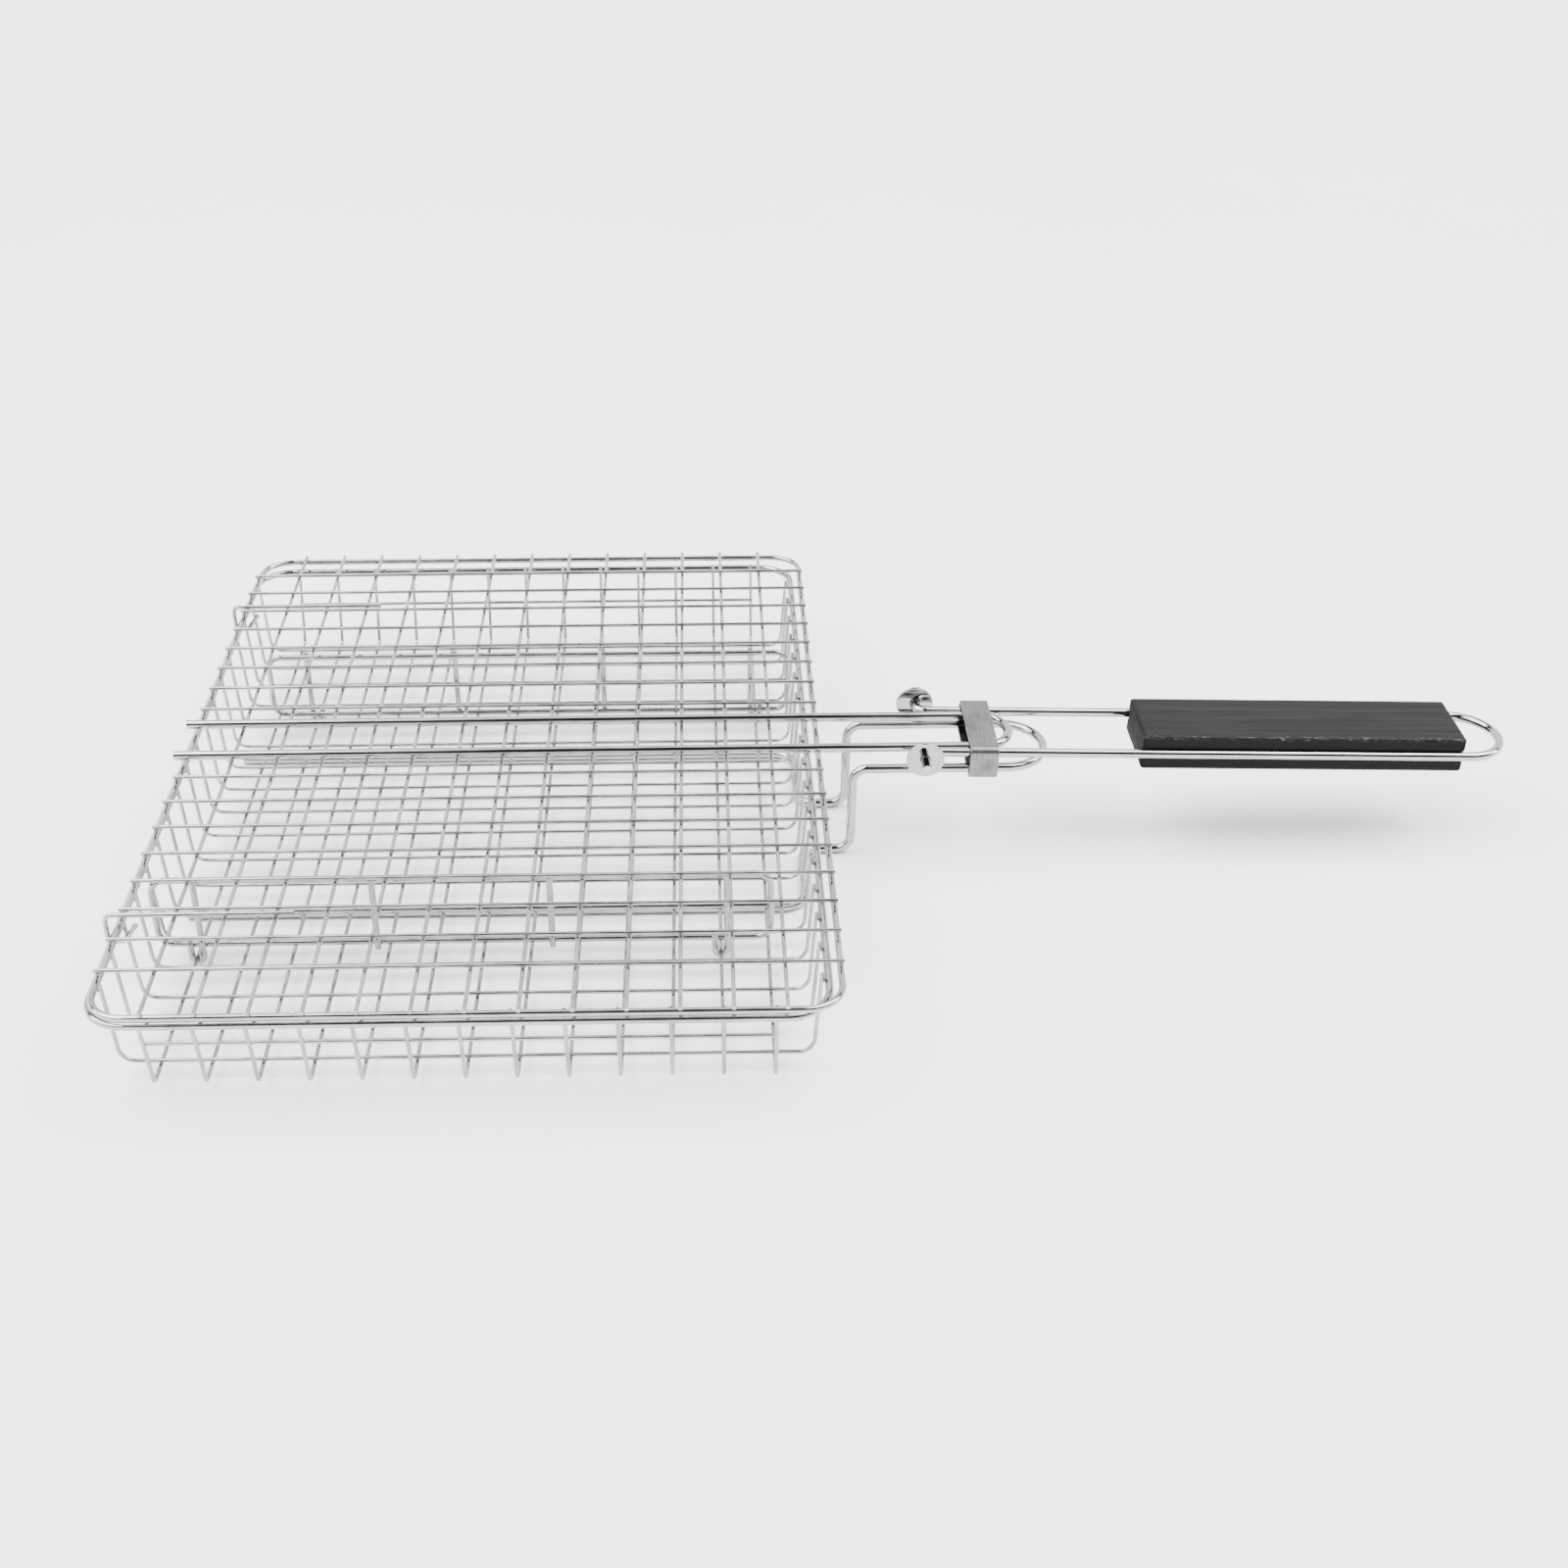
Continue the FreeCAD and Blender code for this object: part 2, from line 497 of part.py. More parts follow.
def check_and_write():
    """Stop on any failed object or bad shape, then write each sub-part's STEP file."""
    doc.recompute()
    for item in doc.Objects:
        if "Invalid" in item.State or "Error" in item.State:
            raise RuntimeError(f"{item.Label} failed: {item.State}")
    for label, item in SUBPARTS.items():
        shape = item.Shape
        if shape.isNull() or not shape.isValid() or not shape.Solids:
            raise RuntimeError(f"{label} has no valid solid")
    os.makedirs("parts", exist_ok=True)
    for label, item in SUBPARTS.items():
        item.Shape.exportStep(f"parts/{label}.step")
        box = item.Shape.BoundBox
        print(f"{label}: {len(item.Shape.Solids)} solids, {item.Shape.Volume / 1000:.2f} cm3, "
              f"x {box.XMin:.1f} {box.XMax:.1f}, y {box.YMin:.1f} {box.YMax:.1f}, "
              f"z {box.ZMin:.1f} {box.ZMax:.1f}")


fill_sheet()
build_basket_shell()
build_bottom_tongue()
build_dividers()
build_lid()
build_handle()
build_clip()
check_and_write()
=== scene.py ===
"""Looks of the grill basket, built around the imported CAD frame.

The bent wires are the CAD nodes themselves, each given a polished wire finish whose streaks
follow the way the wire was drawn.  Four sub-assemblies are made here: the wooden grip, the lock
clip, the stop discs and the beads of weld where wires cross.  Lengths are in metres, in the
frame of the CAD: +X runs along the handle, +Y to the side, +Z up.
"""
import logging
from dataclasses import dataclass, field
from enum import Enum
from math import cos, pi, radians, sin

import bmesh
import bpy
import numpy as np
from mathutils import Euler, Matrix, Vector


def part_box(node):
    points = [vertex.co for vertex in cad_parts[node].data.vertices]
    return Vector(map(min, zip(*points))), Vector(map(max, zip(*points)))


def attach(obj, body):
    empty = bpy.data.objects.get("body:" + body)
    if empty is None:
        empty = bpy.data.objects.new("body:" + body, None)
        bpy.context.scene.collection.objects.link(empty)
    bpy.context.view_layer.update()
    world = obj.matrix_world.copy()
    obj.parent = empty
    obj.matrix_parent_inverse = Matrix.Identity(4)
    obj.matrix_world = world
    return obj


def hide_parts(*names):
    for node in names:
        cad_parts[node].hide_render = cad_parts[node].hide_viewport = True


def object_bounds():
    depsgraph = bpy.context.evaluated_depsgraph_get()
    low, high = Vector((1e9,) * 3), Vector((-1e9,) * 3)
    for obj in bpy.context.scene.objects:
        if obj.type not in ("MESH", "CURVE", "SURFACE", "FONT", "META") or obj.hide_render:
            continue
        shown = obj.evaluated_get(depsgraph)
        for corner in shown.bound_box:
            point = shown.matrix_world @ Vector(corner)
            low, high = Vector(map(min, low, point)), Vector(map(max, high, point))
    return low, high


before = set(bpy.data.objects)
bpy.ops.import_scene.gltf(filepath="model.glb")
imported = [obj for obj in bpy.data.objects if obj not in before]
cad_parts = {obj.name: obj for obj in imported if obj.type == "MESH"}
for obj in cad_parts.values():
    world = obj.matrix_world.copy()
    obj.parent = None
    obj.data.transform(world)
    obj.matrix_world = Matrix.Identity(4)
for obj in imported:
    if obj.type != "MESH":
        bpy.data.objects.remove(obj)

log = logging.getLogger("grill_basket")

CAD_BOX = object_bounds()

MM = 0.001
PITCH = 19 * MM
MESH_RADIUS = 0.8 * MM
THICK_RADIUS = 2 * MM
HOOK_THICKNESS = 2 * MM
HANDLE_DROOP = radians(1.4)

# Half the size of a weld bead along X, Y and Z, in millimetres, by what it joins.
CROSSING_BEAD = (0.72, 0.72, 0.40)
THICK_WIRE_BEAD = (0.75, 1.1, 0.4)
LID_EDGE_BEAD = (0.7, 0.9, 0.4)
LID_END_BEAD = (0.9, 0.7, 1.0)
HOOK_BEAD = (0.7, 0.8, 0.4)
RIM_SIDE_BEAD = (0.7, 0.45, 0.9)
RIM_END_BEAD = (0.45, 0.7, 0.9)
STIFFENER_BEAD = (0.7, 0.4, 0.7)
ROD_BEAD = (0.9, 0.5, 0.9)
RAIL_END_BEAD = (0.5, 0.9, 0.9)

SIDES = (("near", -1), ("far", 1))
MESH_GLOSS = (0.12, 0.26)

Array = np.ndarray


class DrawnAlong(Enum):
    """The way a wire's die lines run, as the pattern scale along X, Y and Z."""

    X = (0.03, 1.0, 1.0)
    Y = (1.0, 0.03, 1.0)
    Z = (1.0, 1.0, 0.03)


# ---------------------------------------------------------------- surfaces


def corners_of(node: str) -> tuple[Array, Array]:
    """The low and the high corner of a CAD node's box.

    Args:
        node: The CAD node's name.

    Returns:
        The two corners, three coordinates each.
    """
    low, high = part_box(node)
    return np.array(low), np.array(high)


def centre_of(node: str) -> Array:
    """The middle of a CAD node's box.

    Args:
        node: The CAD node's name.

    Returns:
        The three coordinates of the middle.
    """
    low, high = corners_of(node)
    return (low + high) / 2


def smooth_step(values: Array, low: float, high: float) -> Array:
    """A soft step from 0 at low to 1 at high: t squared times three less two t.

    Args:
        values: Where the step is worked out.
        low: The value at and below which the result is 0.
        high: The value at and above which the result is 1.

    Returns:
        An array of the same shape.
    """
    t = np.clip((values - low) / (high - low), 0, 1)
    return t * t * (3 - 2 * t)


def wander(points: Array, pitch: float, seed: int) -> Array:
    """A smooth uneven line: random values a pitch apart, joined by soft steps.

    Args:
        points: Places along the line.
        pitch: The spacing of the random values.
        seed: The seed of the random values.

    Returns:
        Values between -1 and 1, one for each place.
    """
    cell = (points - points.min()) / pitch
    knots = np.random.default_rng(seed).uniform(-1, 1, int(cell.max()) + 3)
    whole = np.floor(cell).astype(int)
    part = smooth_step(cell - whole, 0.0, 1.0)
    return knots[whole] * (1 - part) + knots[whole + 1] * part


def rounded_rectangle(half: tuple[float, float], corner: float, flat: int, turn: int) -> Array:
    """A closed outline: four quarter circles joined by straight sides.

    Each quarter circle is its centre plus the corner radius times (cosine, sine) of an angle
    that runs through 90 degrees; each side is points evenly spaced between two quarters.

    Args:
        half: Half the width and half the height.
        corner: The radius of the corners.
        flat: How many points stand on each straight side, without its ends.
        turn: How many points stand on each quarter circle.

    Returns:
        The outline's points, counter-clockwise, two coordinates each.
    """
    angles = np.linspace(0, pi / 2, turn)
    arcs = []
    for quarter, (right, up) in enumerate(((1, 1), (-1, 1), (-1, -1), (1, -1))):
        centre = np.array([right * (half[0] - corner), up * (half[1] - corner)])
        sweep = angles + quarter * pi / 2
        arcs.append(centre + corner * np.stack([np.cos(sweep), np.sin(sweep)], -1))
    steps = np.linspace(0, 1, flat + 2)[1:-1, None]
    sides = [arcs[k][-1] * (1 - steps) + arcs[(k + 1) % 4][0] * steps for k in range(4)]
    return np.concatenate([part for pair in zip(arcs, sides) for part in pair])


def outward(outline: Array) -> Array:
    """Unit normals of a closed counter-clockwise outline.

    The tangent at a point is the next point less the one before it, and the normal is the
    tangent turned a quarter turn clockwise.

    Args:
        outline: The outline's points, two coordinates each.

    Returns:
        One unit vector for each point.
    """
    tangent = np.roll(outline, -1, 0) - np.roll(outline, 1, 0)
    normal = np.stack([tangent[:, 1], -tangent[:, 0]], -1)
    return normal / np.linalg.norm(normal, axis=1, keepdims=True)


def drooped(points: Array, origin: Array) -> Array:
    """Points given along the handle, turned down by its droop and put in place.

    x' = x cos a + z sin a and z' = z cos a - x sin a, then the origin is added.

    Args:
        points: Points whose x runs along the handle's wires.
        origin: Where their zero goes.

    Returns:
        The points in the frame of the CAD.
    """
    x, y, z = points[..., 0], points[..., 1], points[..., 2]
    c, s = cos(HANDLE_DROOP), sin(HANDLE_DROOP)
    return np.stack([x * c + z * s, y, z * c - x * s], -1) + origin


def lengths(points: Array, closed: bool) -> Array:
    """The distance travelled along a line of points, starting at 0.

    Args:
        points: The line's points.
        closed: Whether the line comes back to its first point.

    Returns:
        One distance for each point, and one more for the return to the start.
    """
    following = np.roll(points, -1, 0) if closed else np.concatenate([points[1:], points[-1:]])
    steps = np.linalg.norm(following - points, axis=-1)
    return np.concatenate([[0.0], np.cumsum(steps)])


@dataclass
class Sheet:
    """A surface given as a grid of points, or as many such grids that share one layout.

    Attributes:
        points: Array of rows by columns by 3, or of copies by rows by columns by 3.
        closed_rows: Whether the last row joins the first.
        closed_columns: Whether the last column joins the first.
        wear: An optional value for each point, such as how worn it is.
    """

    points: Array
    closed_rows: bool = False
    closed_columns: bool = True
    wear: Array | None = None

    def corners(self) -> tuple[Array, Array, Array]:
        """The four corners of each face of one grid, and their row and column numbers.

        Face (r, c) has the corners (r, c), (r, c+1), (r+1, c+1) and (r+1, c), where a closed
        direction goes back to 0 after its last number.

        Returns:
            The corners' point numbers, row numbers and column numbers, faces by 4 each.
        """
        rows, columns = self.points.shape[-3:-1]
        r, c = np.meshgrid(np.arange(rows - (not self.closed_rows)),
                           np.arange(columns - (not self.closed_columns)), indexing="ij")
        r = r.ravel()[:, None] + np.array([0, 0, 1, 1])
        c = c.ravel()[:, None] + np.array([0, 1, 1, 0])
        return (r % rows) * columns + c % columns, r, c

    def make(self, name: str) -> bpy.types.Object:
        """Put the grid into a mesh object with smooth faces that point outwards and a UV map.

        The UV map is the distance in metres down the first column and along the middle row.
        The faces are turned over if the volume that they enclose, the sum of the triple
        products of their corners, comes out negative.

        Args:
            name: The object's name.

        Returns:
            The new object, at the origin.
        """
        grids = self.points.reshape((-1,) + self.points.shape[-3:])
        copies, rows, columns = grids.shape[:3]
        faces, r, c = self.corners()
        down = lengths(grids[0][:, 0], self.closed_rows)
        along = lengths(grids[0][rows // 2], self.closed_columns)
        uv = np.stack([down[r], along[c]], -1)
        a, b, d = (grids[0].reshape(-1, 3)[faces[:, k]] for k in (0, 1, 2))
        e = grids[0].reshape(-1, 3)[faces[:, 3]]
        middle = grids[0].reshape(-1, 3).mean(0)
        volume = sum(np.einsum("ij,ij->i", p - middle, np.cross(q - middle, s - middle)).sum()
                     for p, q, s in ((a, b, d), (a, d, e)))
        if volume < 0:
            faces, uv = faces[:, ::-1], uv[:, ::-1]
        every = (faces[None] + np.arange(copies)[:, None, None] * rows * columns).reshape(-1, 4)
        mesh = bpy.data.meshes.new(name)
        mesh.vertices.add(copies * rows * columns)
        mesh.vertices.foreach_set("co", grids.astype(np.float32).ravel())
        mesh.loops.add(every.size)
        mesh.loops.foreach_set("vertex_index", every.astype(np.int32).ravel())
        mesh.polygons.add(len(every))
        mesh.polygons.foreach_set("loop_start", np.arange(0, every.size, 4, dtype=np.int32))
        mesh.polygons.foreach_set("use_smooth", np.ones(len(every), dtype=bool))
        mesh.update(calc_edges=True)
        layer = mesh.uv_layers.new(name="surface")
        layer.data.foreach_set("uv", np.tile(uv.reshape(-1, 2), (copies, 1))
                               .astype(np.float32).ravel())
        if self.wear is not None:
            worn = mesh.attributes.new("wear", "FLOAT", "POINT")
            worn.data.foreach_set("value", self.wear.astype(np.float32).ravel())
        mesh.validate()
        piece = bpy.data.objects.new(name, mesh)
        bpy.context.scene.collection.objects.link(piece)
        return piece


def closed_ends(grid: Array) -> Array:
    """A tube's rows with both ends closed: each end row is shrunk onto its own middle.

    Args:
        grid: Rows of points round a tube.

    Returns:
        The rows with one more at each end, all of whose points are the end row's mean.
    """
    first = np.broadcast_to(grid[:1].mean(1, keepdims=True), grid[:1].shape)
    last = np.broadcast_to(grid[-1:].mean(1, keepdims=True), grid[-1:].shape)
    return np.concatenate([first, grid, last])


def merge_poles(piece: bpy.types.Object) -> None:
    """Merge the points that lie on each other, so that a closed end has one pole.

    Args:
        piece: The object whose mesh is cleaned.
    """
    work = bmesh.new()
    work.from_mesh(piece.data)
    bmesh.ops.remove_doubles(work, verts=work.verts, dist=1e-7)
    work.to_mesh(piece.data)
    work.free()


# ---------------------------------------------------------------- materials


@dataclass(frozen=True)
class Finish:
    """A material's name and the numbers that are the same all over it.

    Attributes:
        name: The material's name.
        metallic: How metallic it is, 0 or 1.
    """

    name: str
    metallic: float = 1.0

    def start(self) -> tuple[bpy.types.Material, "Nodes"]:
        """Make the material with an empty shader, and a helper that adds nodes to it.

        Returns:
            The material and its node helper.
        """
        material = bpy.data.materials.new(self.name)
        material.use_nodes = True
        nodes = Nodes(material.node_tree)
        nodes.shader.inputs["Metallic"].default_value = self.metallic
        return material, nodes


class Nodes:
    """Adds and joins the nodes of one material."""

    def __init__(self, tree: bpy.types.NodeTree) -> None:
        """Keep the node tree and its shader."""
        self.tree = tree
        self.shader = tree.nodes["Principled BSDF"]

    def add(self, kind: str, **settings: object) -> bpy.types.Node:
        """Add a node.

        Args:
            kind: The node's type name, without its "ShaderNode".
            settings: Node properties, or socket values under the socket's name.

        Returns:
            The new node.
        """
        node = self.tree.nodes.new("ShaderNode" + kind)
        for key, setting in settings.items():
            if hasattr(node, key):
                setattr(node, key, setting)
            else:
                node.inputs[key.replace("_", " ")].default_value = setting
        return node

    def join(self, source: bpy.types.NodeSocket, target: bpy.types.NodeSocket) -> None:
        """Join an output to an input."""
        self.tree.links.new(source, target)

    def scaled(self, source: str, scale: tuple[float, float, float]) -> bpy.types.NodeSocket:
        """Coordinates of the given kind, stretched.

        Args:
            source: "Object" or "UV".
            scale: The pattern's scale along each axis.

        Returns:
            The socket with the stretched coordinates.
        """
        place = self.add("TexCoord")
        mapping = self.add("Mapping")
        mapping.inputs["Scale"].default_value = scale
        self.join(place.outputs[source], mapping.inputs["Vector"])
        return mapping.outputs["Vector"]

    def noise(self, vector: bpy.types.NodeSocket, scale: float, detail: float = 3.0,
              roughness: float = 0.5) -> bpy.types.NodeSocket:
        """A noise pattern.

        Args:
            vector: The coordinates that it reads.
            scale: Its scale.
            detail: How many finer layers it has.
            roughness: How strong the finer layers are.

        Returns:
            The pattern's value socket.
        """
        node = self.add("TexNoise", Scale=scale, Detail=detail, Roughness=roughness)
        self.join(vector, node.inputs["Vector"])
        return node.outputs["Fac"]

    def ramp(self, value: bpy.types.NodeSocket,
             stops: list[tuple[float, tuple[float, float, float]]]) -> bpy.types.NodeSocket:
        """Colours that follow a value.

        Args:
            value: The value's socket.
            stops: Pairs of a place between 0 and 1 and a colour.

        Returns:
            The colour socket.
        """
        node = self.add("ValToRGB")
        elements = node.color_ramp.elements
        for element, (place, colour) in zip(tuple(elements), (stops[0], stops[-1])):
            element.position = place
            element.color = (*colour, 1.0)
        for place, colour in stops[1:-1]:
            elements.new(place).color = (*colour, 1.0)
        self.join(value, node.inputs["Fac"])
        return node.outputs["Color"]

    def spread(self, value: bpy.types.NodeSocket, low: float, high: float,
               start: float = 0.3, end: float = 0.7) -> bpy.types.NodeSocket:
        """A value taken from one span to another.

        Args:
            value: The value's socket.
            low: The result where the value is start.
            high: The result where the value is end.
            start: The value's lower end.
            end: The value's upper end.

        Returns:
            The result's socket.
        """
        node = self.add("MapRange")
        for name, number in (("From Min", start), ("From Max", end),
                             ("To Min", low), ("To Max", high)):
            node.inputs[name].default_value = number
        self.join(value, node.inputs["Value"])
        return node.outputs["Result"]

    def math(self, operation: str, first: object, second: object = 0.0,
             third: object = 0.0) -> bpy.types.NodeSocket:
        """A sum on values or sockets.

        Args:
            operation: The name of the operation.
            first: The first value or socket.
            second: The second value or socket.
            third: The third value or socket.

        Returns:
            The result's socket.
        """
        node = self.add("Math", operation=operation)
        for slot, item in zip(node.inputs, (first, second, third)):
            if isinstance(item, bpy.types.NodeSocket):
                self.join(item, slot)
            else:
                slot.default_value = item
        return node.outputs["Value"]

    def blend(self, share: bpy.types.NodeSocket, first: object,
              second: object) -> bpy.types.NodeSocket:
        """A mix of two colours.

        Args:
            share: The second colour's share.
            first: The first colour or its socket.
            second: The second colour or its socket.

        Returns:
            The mixed colour's socket.
        """
        node = self.add("Mix", data_type="RGBA")
        self.join(share, node.inputs[0])
        for slot, item in ((node.inputs[6], first), (node.inputs[7], second)):
            if isinstance(item, bpy.types.NodeSocket):
                self.join(item, slot)
            else:
                slot.default_value = (*item, 1.0)
        return node.outputs[2]

    def bump(self, height: bpy.types.NodeSocket, depth: float, strength: float) -> None:
        """Give the shader a relief.

        Args:
            height: The relief's height socket.
            depth: Its depth in metres.
            strength: How much of it shows.
        """
        node = self.add("Bump")
        node.inputs["Distance"].default_value = depth
        node.inputs["Strength"].default_value = strength
        self.join(height, node.inputs["Height"])
        self.join(node.outputs["Normal"], self.shader.inputs["Normal"])


@dataclass(frozen=True)
class Crossings:
    """Where a mesh's wires cross, for the heat tint round its spot welds.

    Attributes:
        x: A cross wire's place along X.
        y: A long wire's place along Y.
        reach: How far the tint reaches from a crossing.
    """

    x: float
    y: float
    reach: float = 1.8 * MM


@dataclass(frozen=True)
class PolishedWire(Finish):
    """Drawn and polished stainless wire: faint die lines, patches of haze, tint at the welds.

    Attributes:
        drawn: The way the die lines run.
        light: The brighter of the wire's two greys.
        dark: The darker of them.
        gloss: The lowest and highest roughness.
        crossings: Where the spot welds are, if the wire has them.
    """

    drawn: DrawnAlong = DrawnAlong.X
    light: tuple[float, float, float] = (0.42, 0.42, 0.425)
    dark: tuple[float, float, float] = (0.29, 0.29, 0.295)
    gloss: tuple[float, float] = (0.07, 0.20)
    crossings: Crossings | None = None

    def tint_share(self, nodes: Nodes) -> bpy.types.NodeSocket:
        """How near a point is to a crossing, from 0 at the reach to 1 at the crossing itself.

        Each coordinate is wrapped into one pitch of the mesh, centred on a wire.

        Args:
            nodes: The material's nodes.

        Returns:
            The share's socket.
        """
        place = nodes.add("TexCoord")
        parts = nodes.add("SeparateXYZ")
        nodes.join(place.outputs["Object"], parts.inputs["Vector"])
        squares = []
        for axis, wire in (("X", self.crossings.x), ("Y", self.crossings.y)):
            moved = nodes.math("SUBTRACT", parts.outputs[axis], wire)
            near = nodes.math("WRAP", moved, PITCH / 2, -PITCH / 2)
            squares.append(nodes.math("MULTIPLY", near, near))
        distance = nodes.math("SQRT", nodes.math("ADD", *squares))
        return nodes.spread(distance, 0.3, 0.0, self.crossings.reach * 0.35,
                            self.crossings.reach)

    def build(self) -> bpy.types.Material:
        """Make the material.

        Returns:
            The material.
        """
        material, nodes = self.start()
        lines = nodes.noise(nodes.scaled("Object", self.drawn.value), 3200, 2.0)
        haze = nodes.noise(nodes.scaled("Object", (1, 1, 1)), 45, 4.0, 0.6)
        colour = nodes.ramp(haze, [(0.35, self.dark), (0.62, self.light)])
        if self.crossings:
            colour = nodes.blend(self.tint_share(nodes), colour, (0.20, 0.195, 0.19))
        nodes.join(colour, nodes.shader.inputs["Base Color"])
        both = nodes.math("MULTIPLY_ADD", lines, 0.4, nodes.math("MULTIPLY", haze, 0.6))
        nodes.join(nodes.spread(both, *self.gloss), nodes.shader.inputs["Roughness"])
        nodes.bump(lines, 0.02 * MM, 0.25)
        return material


@dataclass(frozen=True)
class WeldMetal(Finish):
    """Small beads of metal that melted and set: duller and darker than the wires."""

    def build(self) -> bpy.types.Material:
        """Make the material.

        Returns:
            The material.
        """
        material, nodes = self.start()
        grain = nodes.noise(nodes.scaled("Object", (1, 1, 1)), 1500, 3.0)
        colour = nodes.ramp(grain, [(0.3, (0.16, 0.16, 0.16)), (0.7, (0.38, 0.38, 0.38))])
        nodes.join(colour, nodes.shader.inputs["Base Color"])
        nodes.join(nodes.spread(grain, 0.22, 0.40), nodes.shader.inputs["Roughness"])
        nodes.bump(grain, 0.05 * MM, 0.4)
        return material


@dataclass(frozen=True)
class BrushedBand(Finish):
    """Stainless strip brushed along its length, with a few deeper scratches.

    Attributes:
        across: How fine the brushing is, across the strip.
    """

    across: float = 2600.0

    def build(self) -> bpy.types.Material:
        """Make the material.

        Returns:
            The material.
        """
        material, nodes = self.start()
        brushed = nodes.scaled("UV", (0.035, 1.0, 1.0))
        lines = nodes.noise(brushed, self.across, 4.0, 0.7)
        scratches = nodes.noise(nodes.scaled("UV", (0.02, 1.0, 1.0)), 700, 2.0)
        cloud = nodes.noise(nodes.scaled("Object", (1, 1, 1)), 120, 3.0)
        mixed = nodes.math("MULTIPLY_ADD", lines, 0.6, nodes.math("MULTIPLY", cloud, 0.4))
        colour = nodes.ramp(mixed, [(0.36, (0.09, 0.09, 0.092)), (0.64, (0.23, 0.23, 0.233))])
        nodes.join(colour, nodes.shader.inputs["Base Color"])
        nodes.join(nodes.spread(lines, 0.24, 0.42), nodes.shader.inputs["Roughness"])
        relief = nodes.math("MULTIPLY_ADD", scratches, 0.5, lines)
        nodes.bump(relief, 0.03 * MM, 0.45)
        return material


@dataclass(frozen=True)
class TurnedDisc(Finish):
    """A bright stamped disc with fine rings from its finishing and a little haze.

    Attributes:
        centre: The disc's middle, which the rings go round.
    """

    centre: tuple[float, float, float] = (0.0, 0.0, 0.0)

    def build(self) -> bpy.types.Material:
        """Make the material: the rings follow the distance from the disc's axis.

        Returns:
            The material.
        """
        material, nodes = self.start()
        place = nodes.add("TexCoord")
        shift = nodes.add("VectorMath", operation="SUBTRACT")
        shift.inputs[1].default_value = self.centre
        flat = nodes.add("VectorMath", operation="MULTIPLY")
        flat.inputs[1].default_value = (1.0, 0.0, 1.0)
        reach = nodes.add("VectorMath", operation="LENGTH")
        nodes.join(place.outputs["Object"], shift.inputs[0])
        nodes.join(shift.outputs["Vector"], flat.inputs[0])
        nodes.join(flat.outputs["Vector"], reach.inputs[0])
        rings = nodes.add("TexNoise", noise_dimensions="1D", Scale=4200.0, Detail=3.0)
        nodes.join(reach.outputs["Value"], rings.inputs["W"])
        haze = nodes.noise(place.outputs["Object"], 260, 3.0)
        colour = nodes.ramp(haze, [(0.3, (0.33, 0.33, 0.333)), (0.7, (0.39, 0.39, 0.393))])
        nodes.join(colour, nodes.shader.inputs["Base Color"])
        nodes.join(nodes.spread(haze, 0.04, 0.10), nodes.shader.inputs["Roughness"])
        nodes.bump(rings.outputs["Fac"], 0.01 * MM, 0.1)
        return material


@dataclass(frozen=True)
class StainedWood(Finish):
    """Hardwood stained nearly black: open grain along the grip, paler wood where it is worn."""

    metallic: float = 0.0

    def build(self) -> bpy.types.Material:
        """Make the material.

        The grain is noise stretched along the grip, with thin dark pores cut out of a finer
        noise.  The upper face is painted paler and the sides darker, as painted light and shade
        that follow the normal's Z, and flakes of the stain are gone where the point value
        "wear" is high.

        Returns:
            The material.
        """
        material, nodes = self.start()
        grain = nodes.noise(nodes.scaled("Object", (0.05, 1.0, 1.0)), 420, 5.0, 0.6)
        pores = nodes.noise(nodes.scaled("Object", (0.035, 1.0, 1.0)), 1900, 2.0, 0.5)
        cloud = nodes.noise(nodes.scaled("Object", (0.4, 1.0, 1.0)), 60, 2.0)
        tone = nodes.math("MULTIPLY_ADD", grain, 0.7, nodes.math("MULTIPLY", cloud, 0.3))
        # Painted light and shade: a paler stain for the lit upper face and a darker one for the
        # shaded sides.
        painted_lit_top = nodes.ramp(tone, [(0.32, (0.0040, 0.0039, 0.0038)),
                                  (0.52, (0.0065, 0.0064, 0.0063)),
                                  (0.72, (0.0105, 0.0103, 0.0101))])
        painted_shaded_sides = nodes.ramp(tone, [(0.32, (0.0015, 0.0015, 0.0015)),
                                 (0.72, (0.0045, 0.0044, 0.0043))])
        facing = nodes.add("SeparateXYZ")
        nodes.join(nodes.add("TexCoord").outputs["Normal"], facing.inputs["Vector"])
        # The stain here carries painted light and shade: the paler ramp where the normal points
        # up, the darker one on the sides.
        stain = nodes.blend(nodes.spread(facing.outputs["Z"], 0.0, 1.0, 0.2, 0.9), painted_shaded_sides, painted_lit_top)
        pore_share = nodes.spread(pores, 0.6, 0.0, 0.30, 0.42)
        dark = nodes.blend(pore_share, stain, (0.002, 0.002, 0.002))
        worn = nodes.add("Attribute", attribute_name="wear")
        flakes = nodes.noise(nodes.scaled("Object", (0.3, 1.0, 1.0)), 1500, 3.0, 0.6)
        bare = nodes.math("MULTIPLY", worn.outputs["Fac"],
                          nodes.spread(flakes, 0.08, 1.0, 0.54, 0.64))
        colour = nodes.blend(bare, dark, (0.080, 0.079, 0.078))
        nodes.join(colour, nodes.shader.inputs["Base Color"])
        end = nodes.math("ABSOLUTE", facing.outputs["X"])
        gloss = nodes.math("MULTIPLY_ADD", end, 0.35, nodes.spread(tone, 0.50, 0.34))
        nodes.join(gloss, nodes.shader.inputs["Roughness"])
        relief = nodes.math("MULTIPLY_ADD", pores, 0.6, grain)
        nodes.bump(relief, 0.12 * MM, 0.45)
        nodes.shader.inputs["Specular IOR Level"].default_value = 0.09
        return material


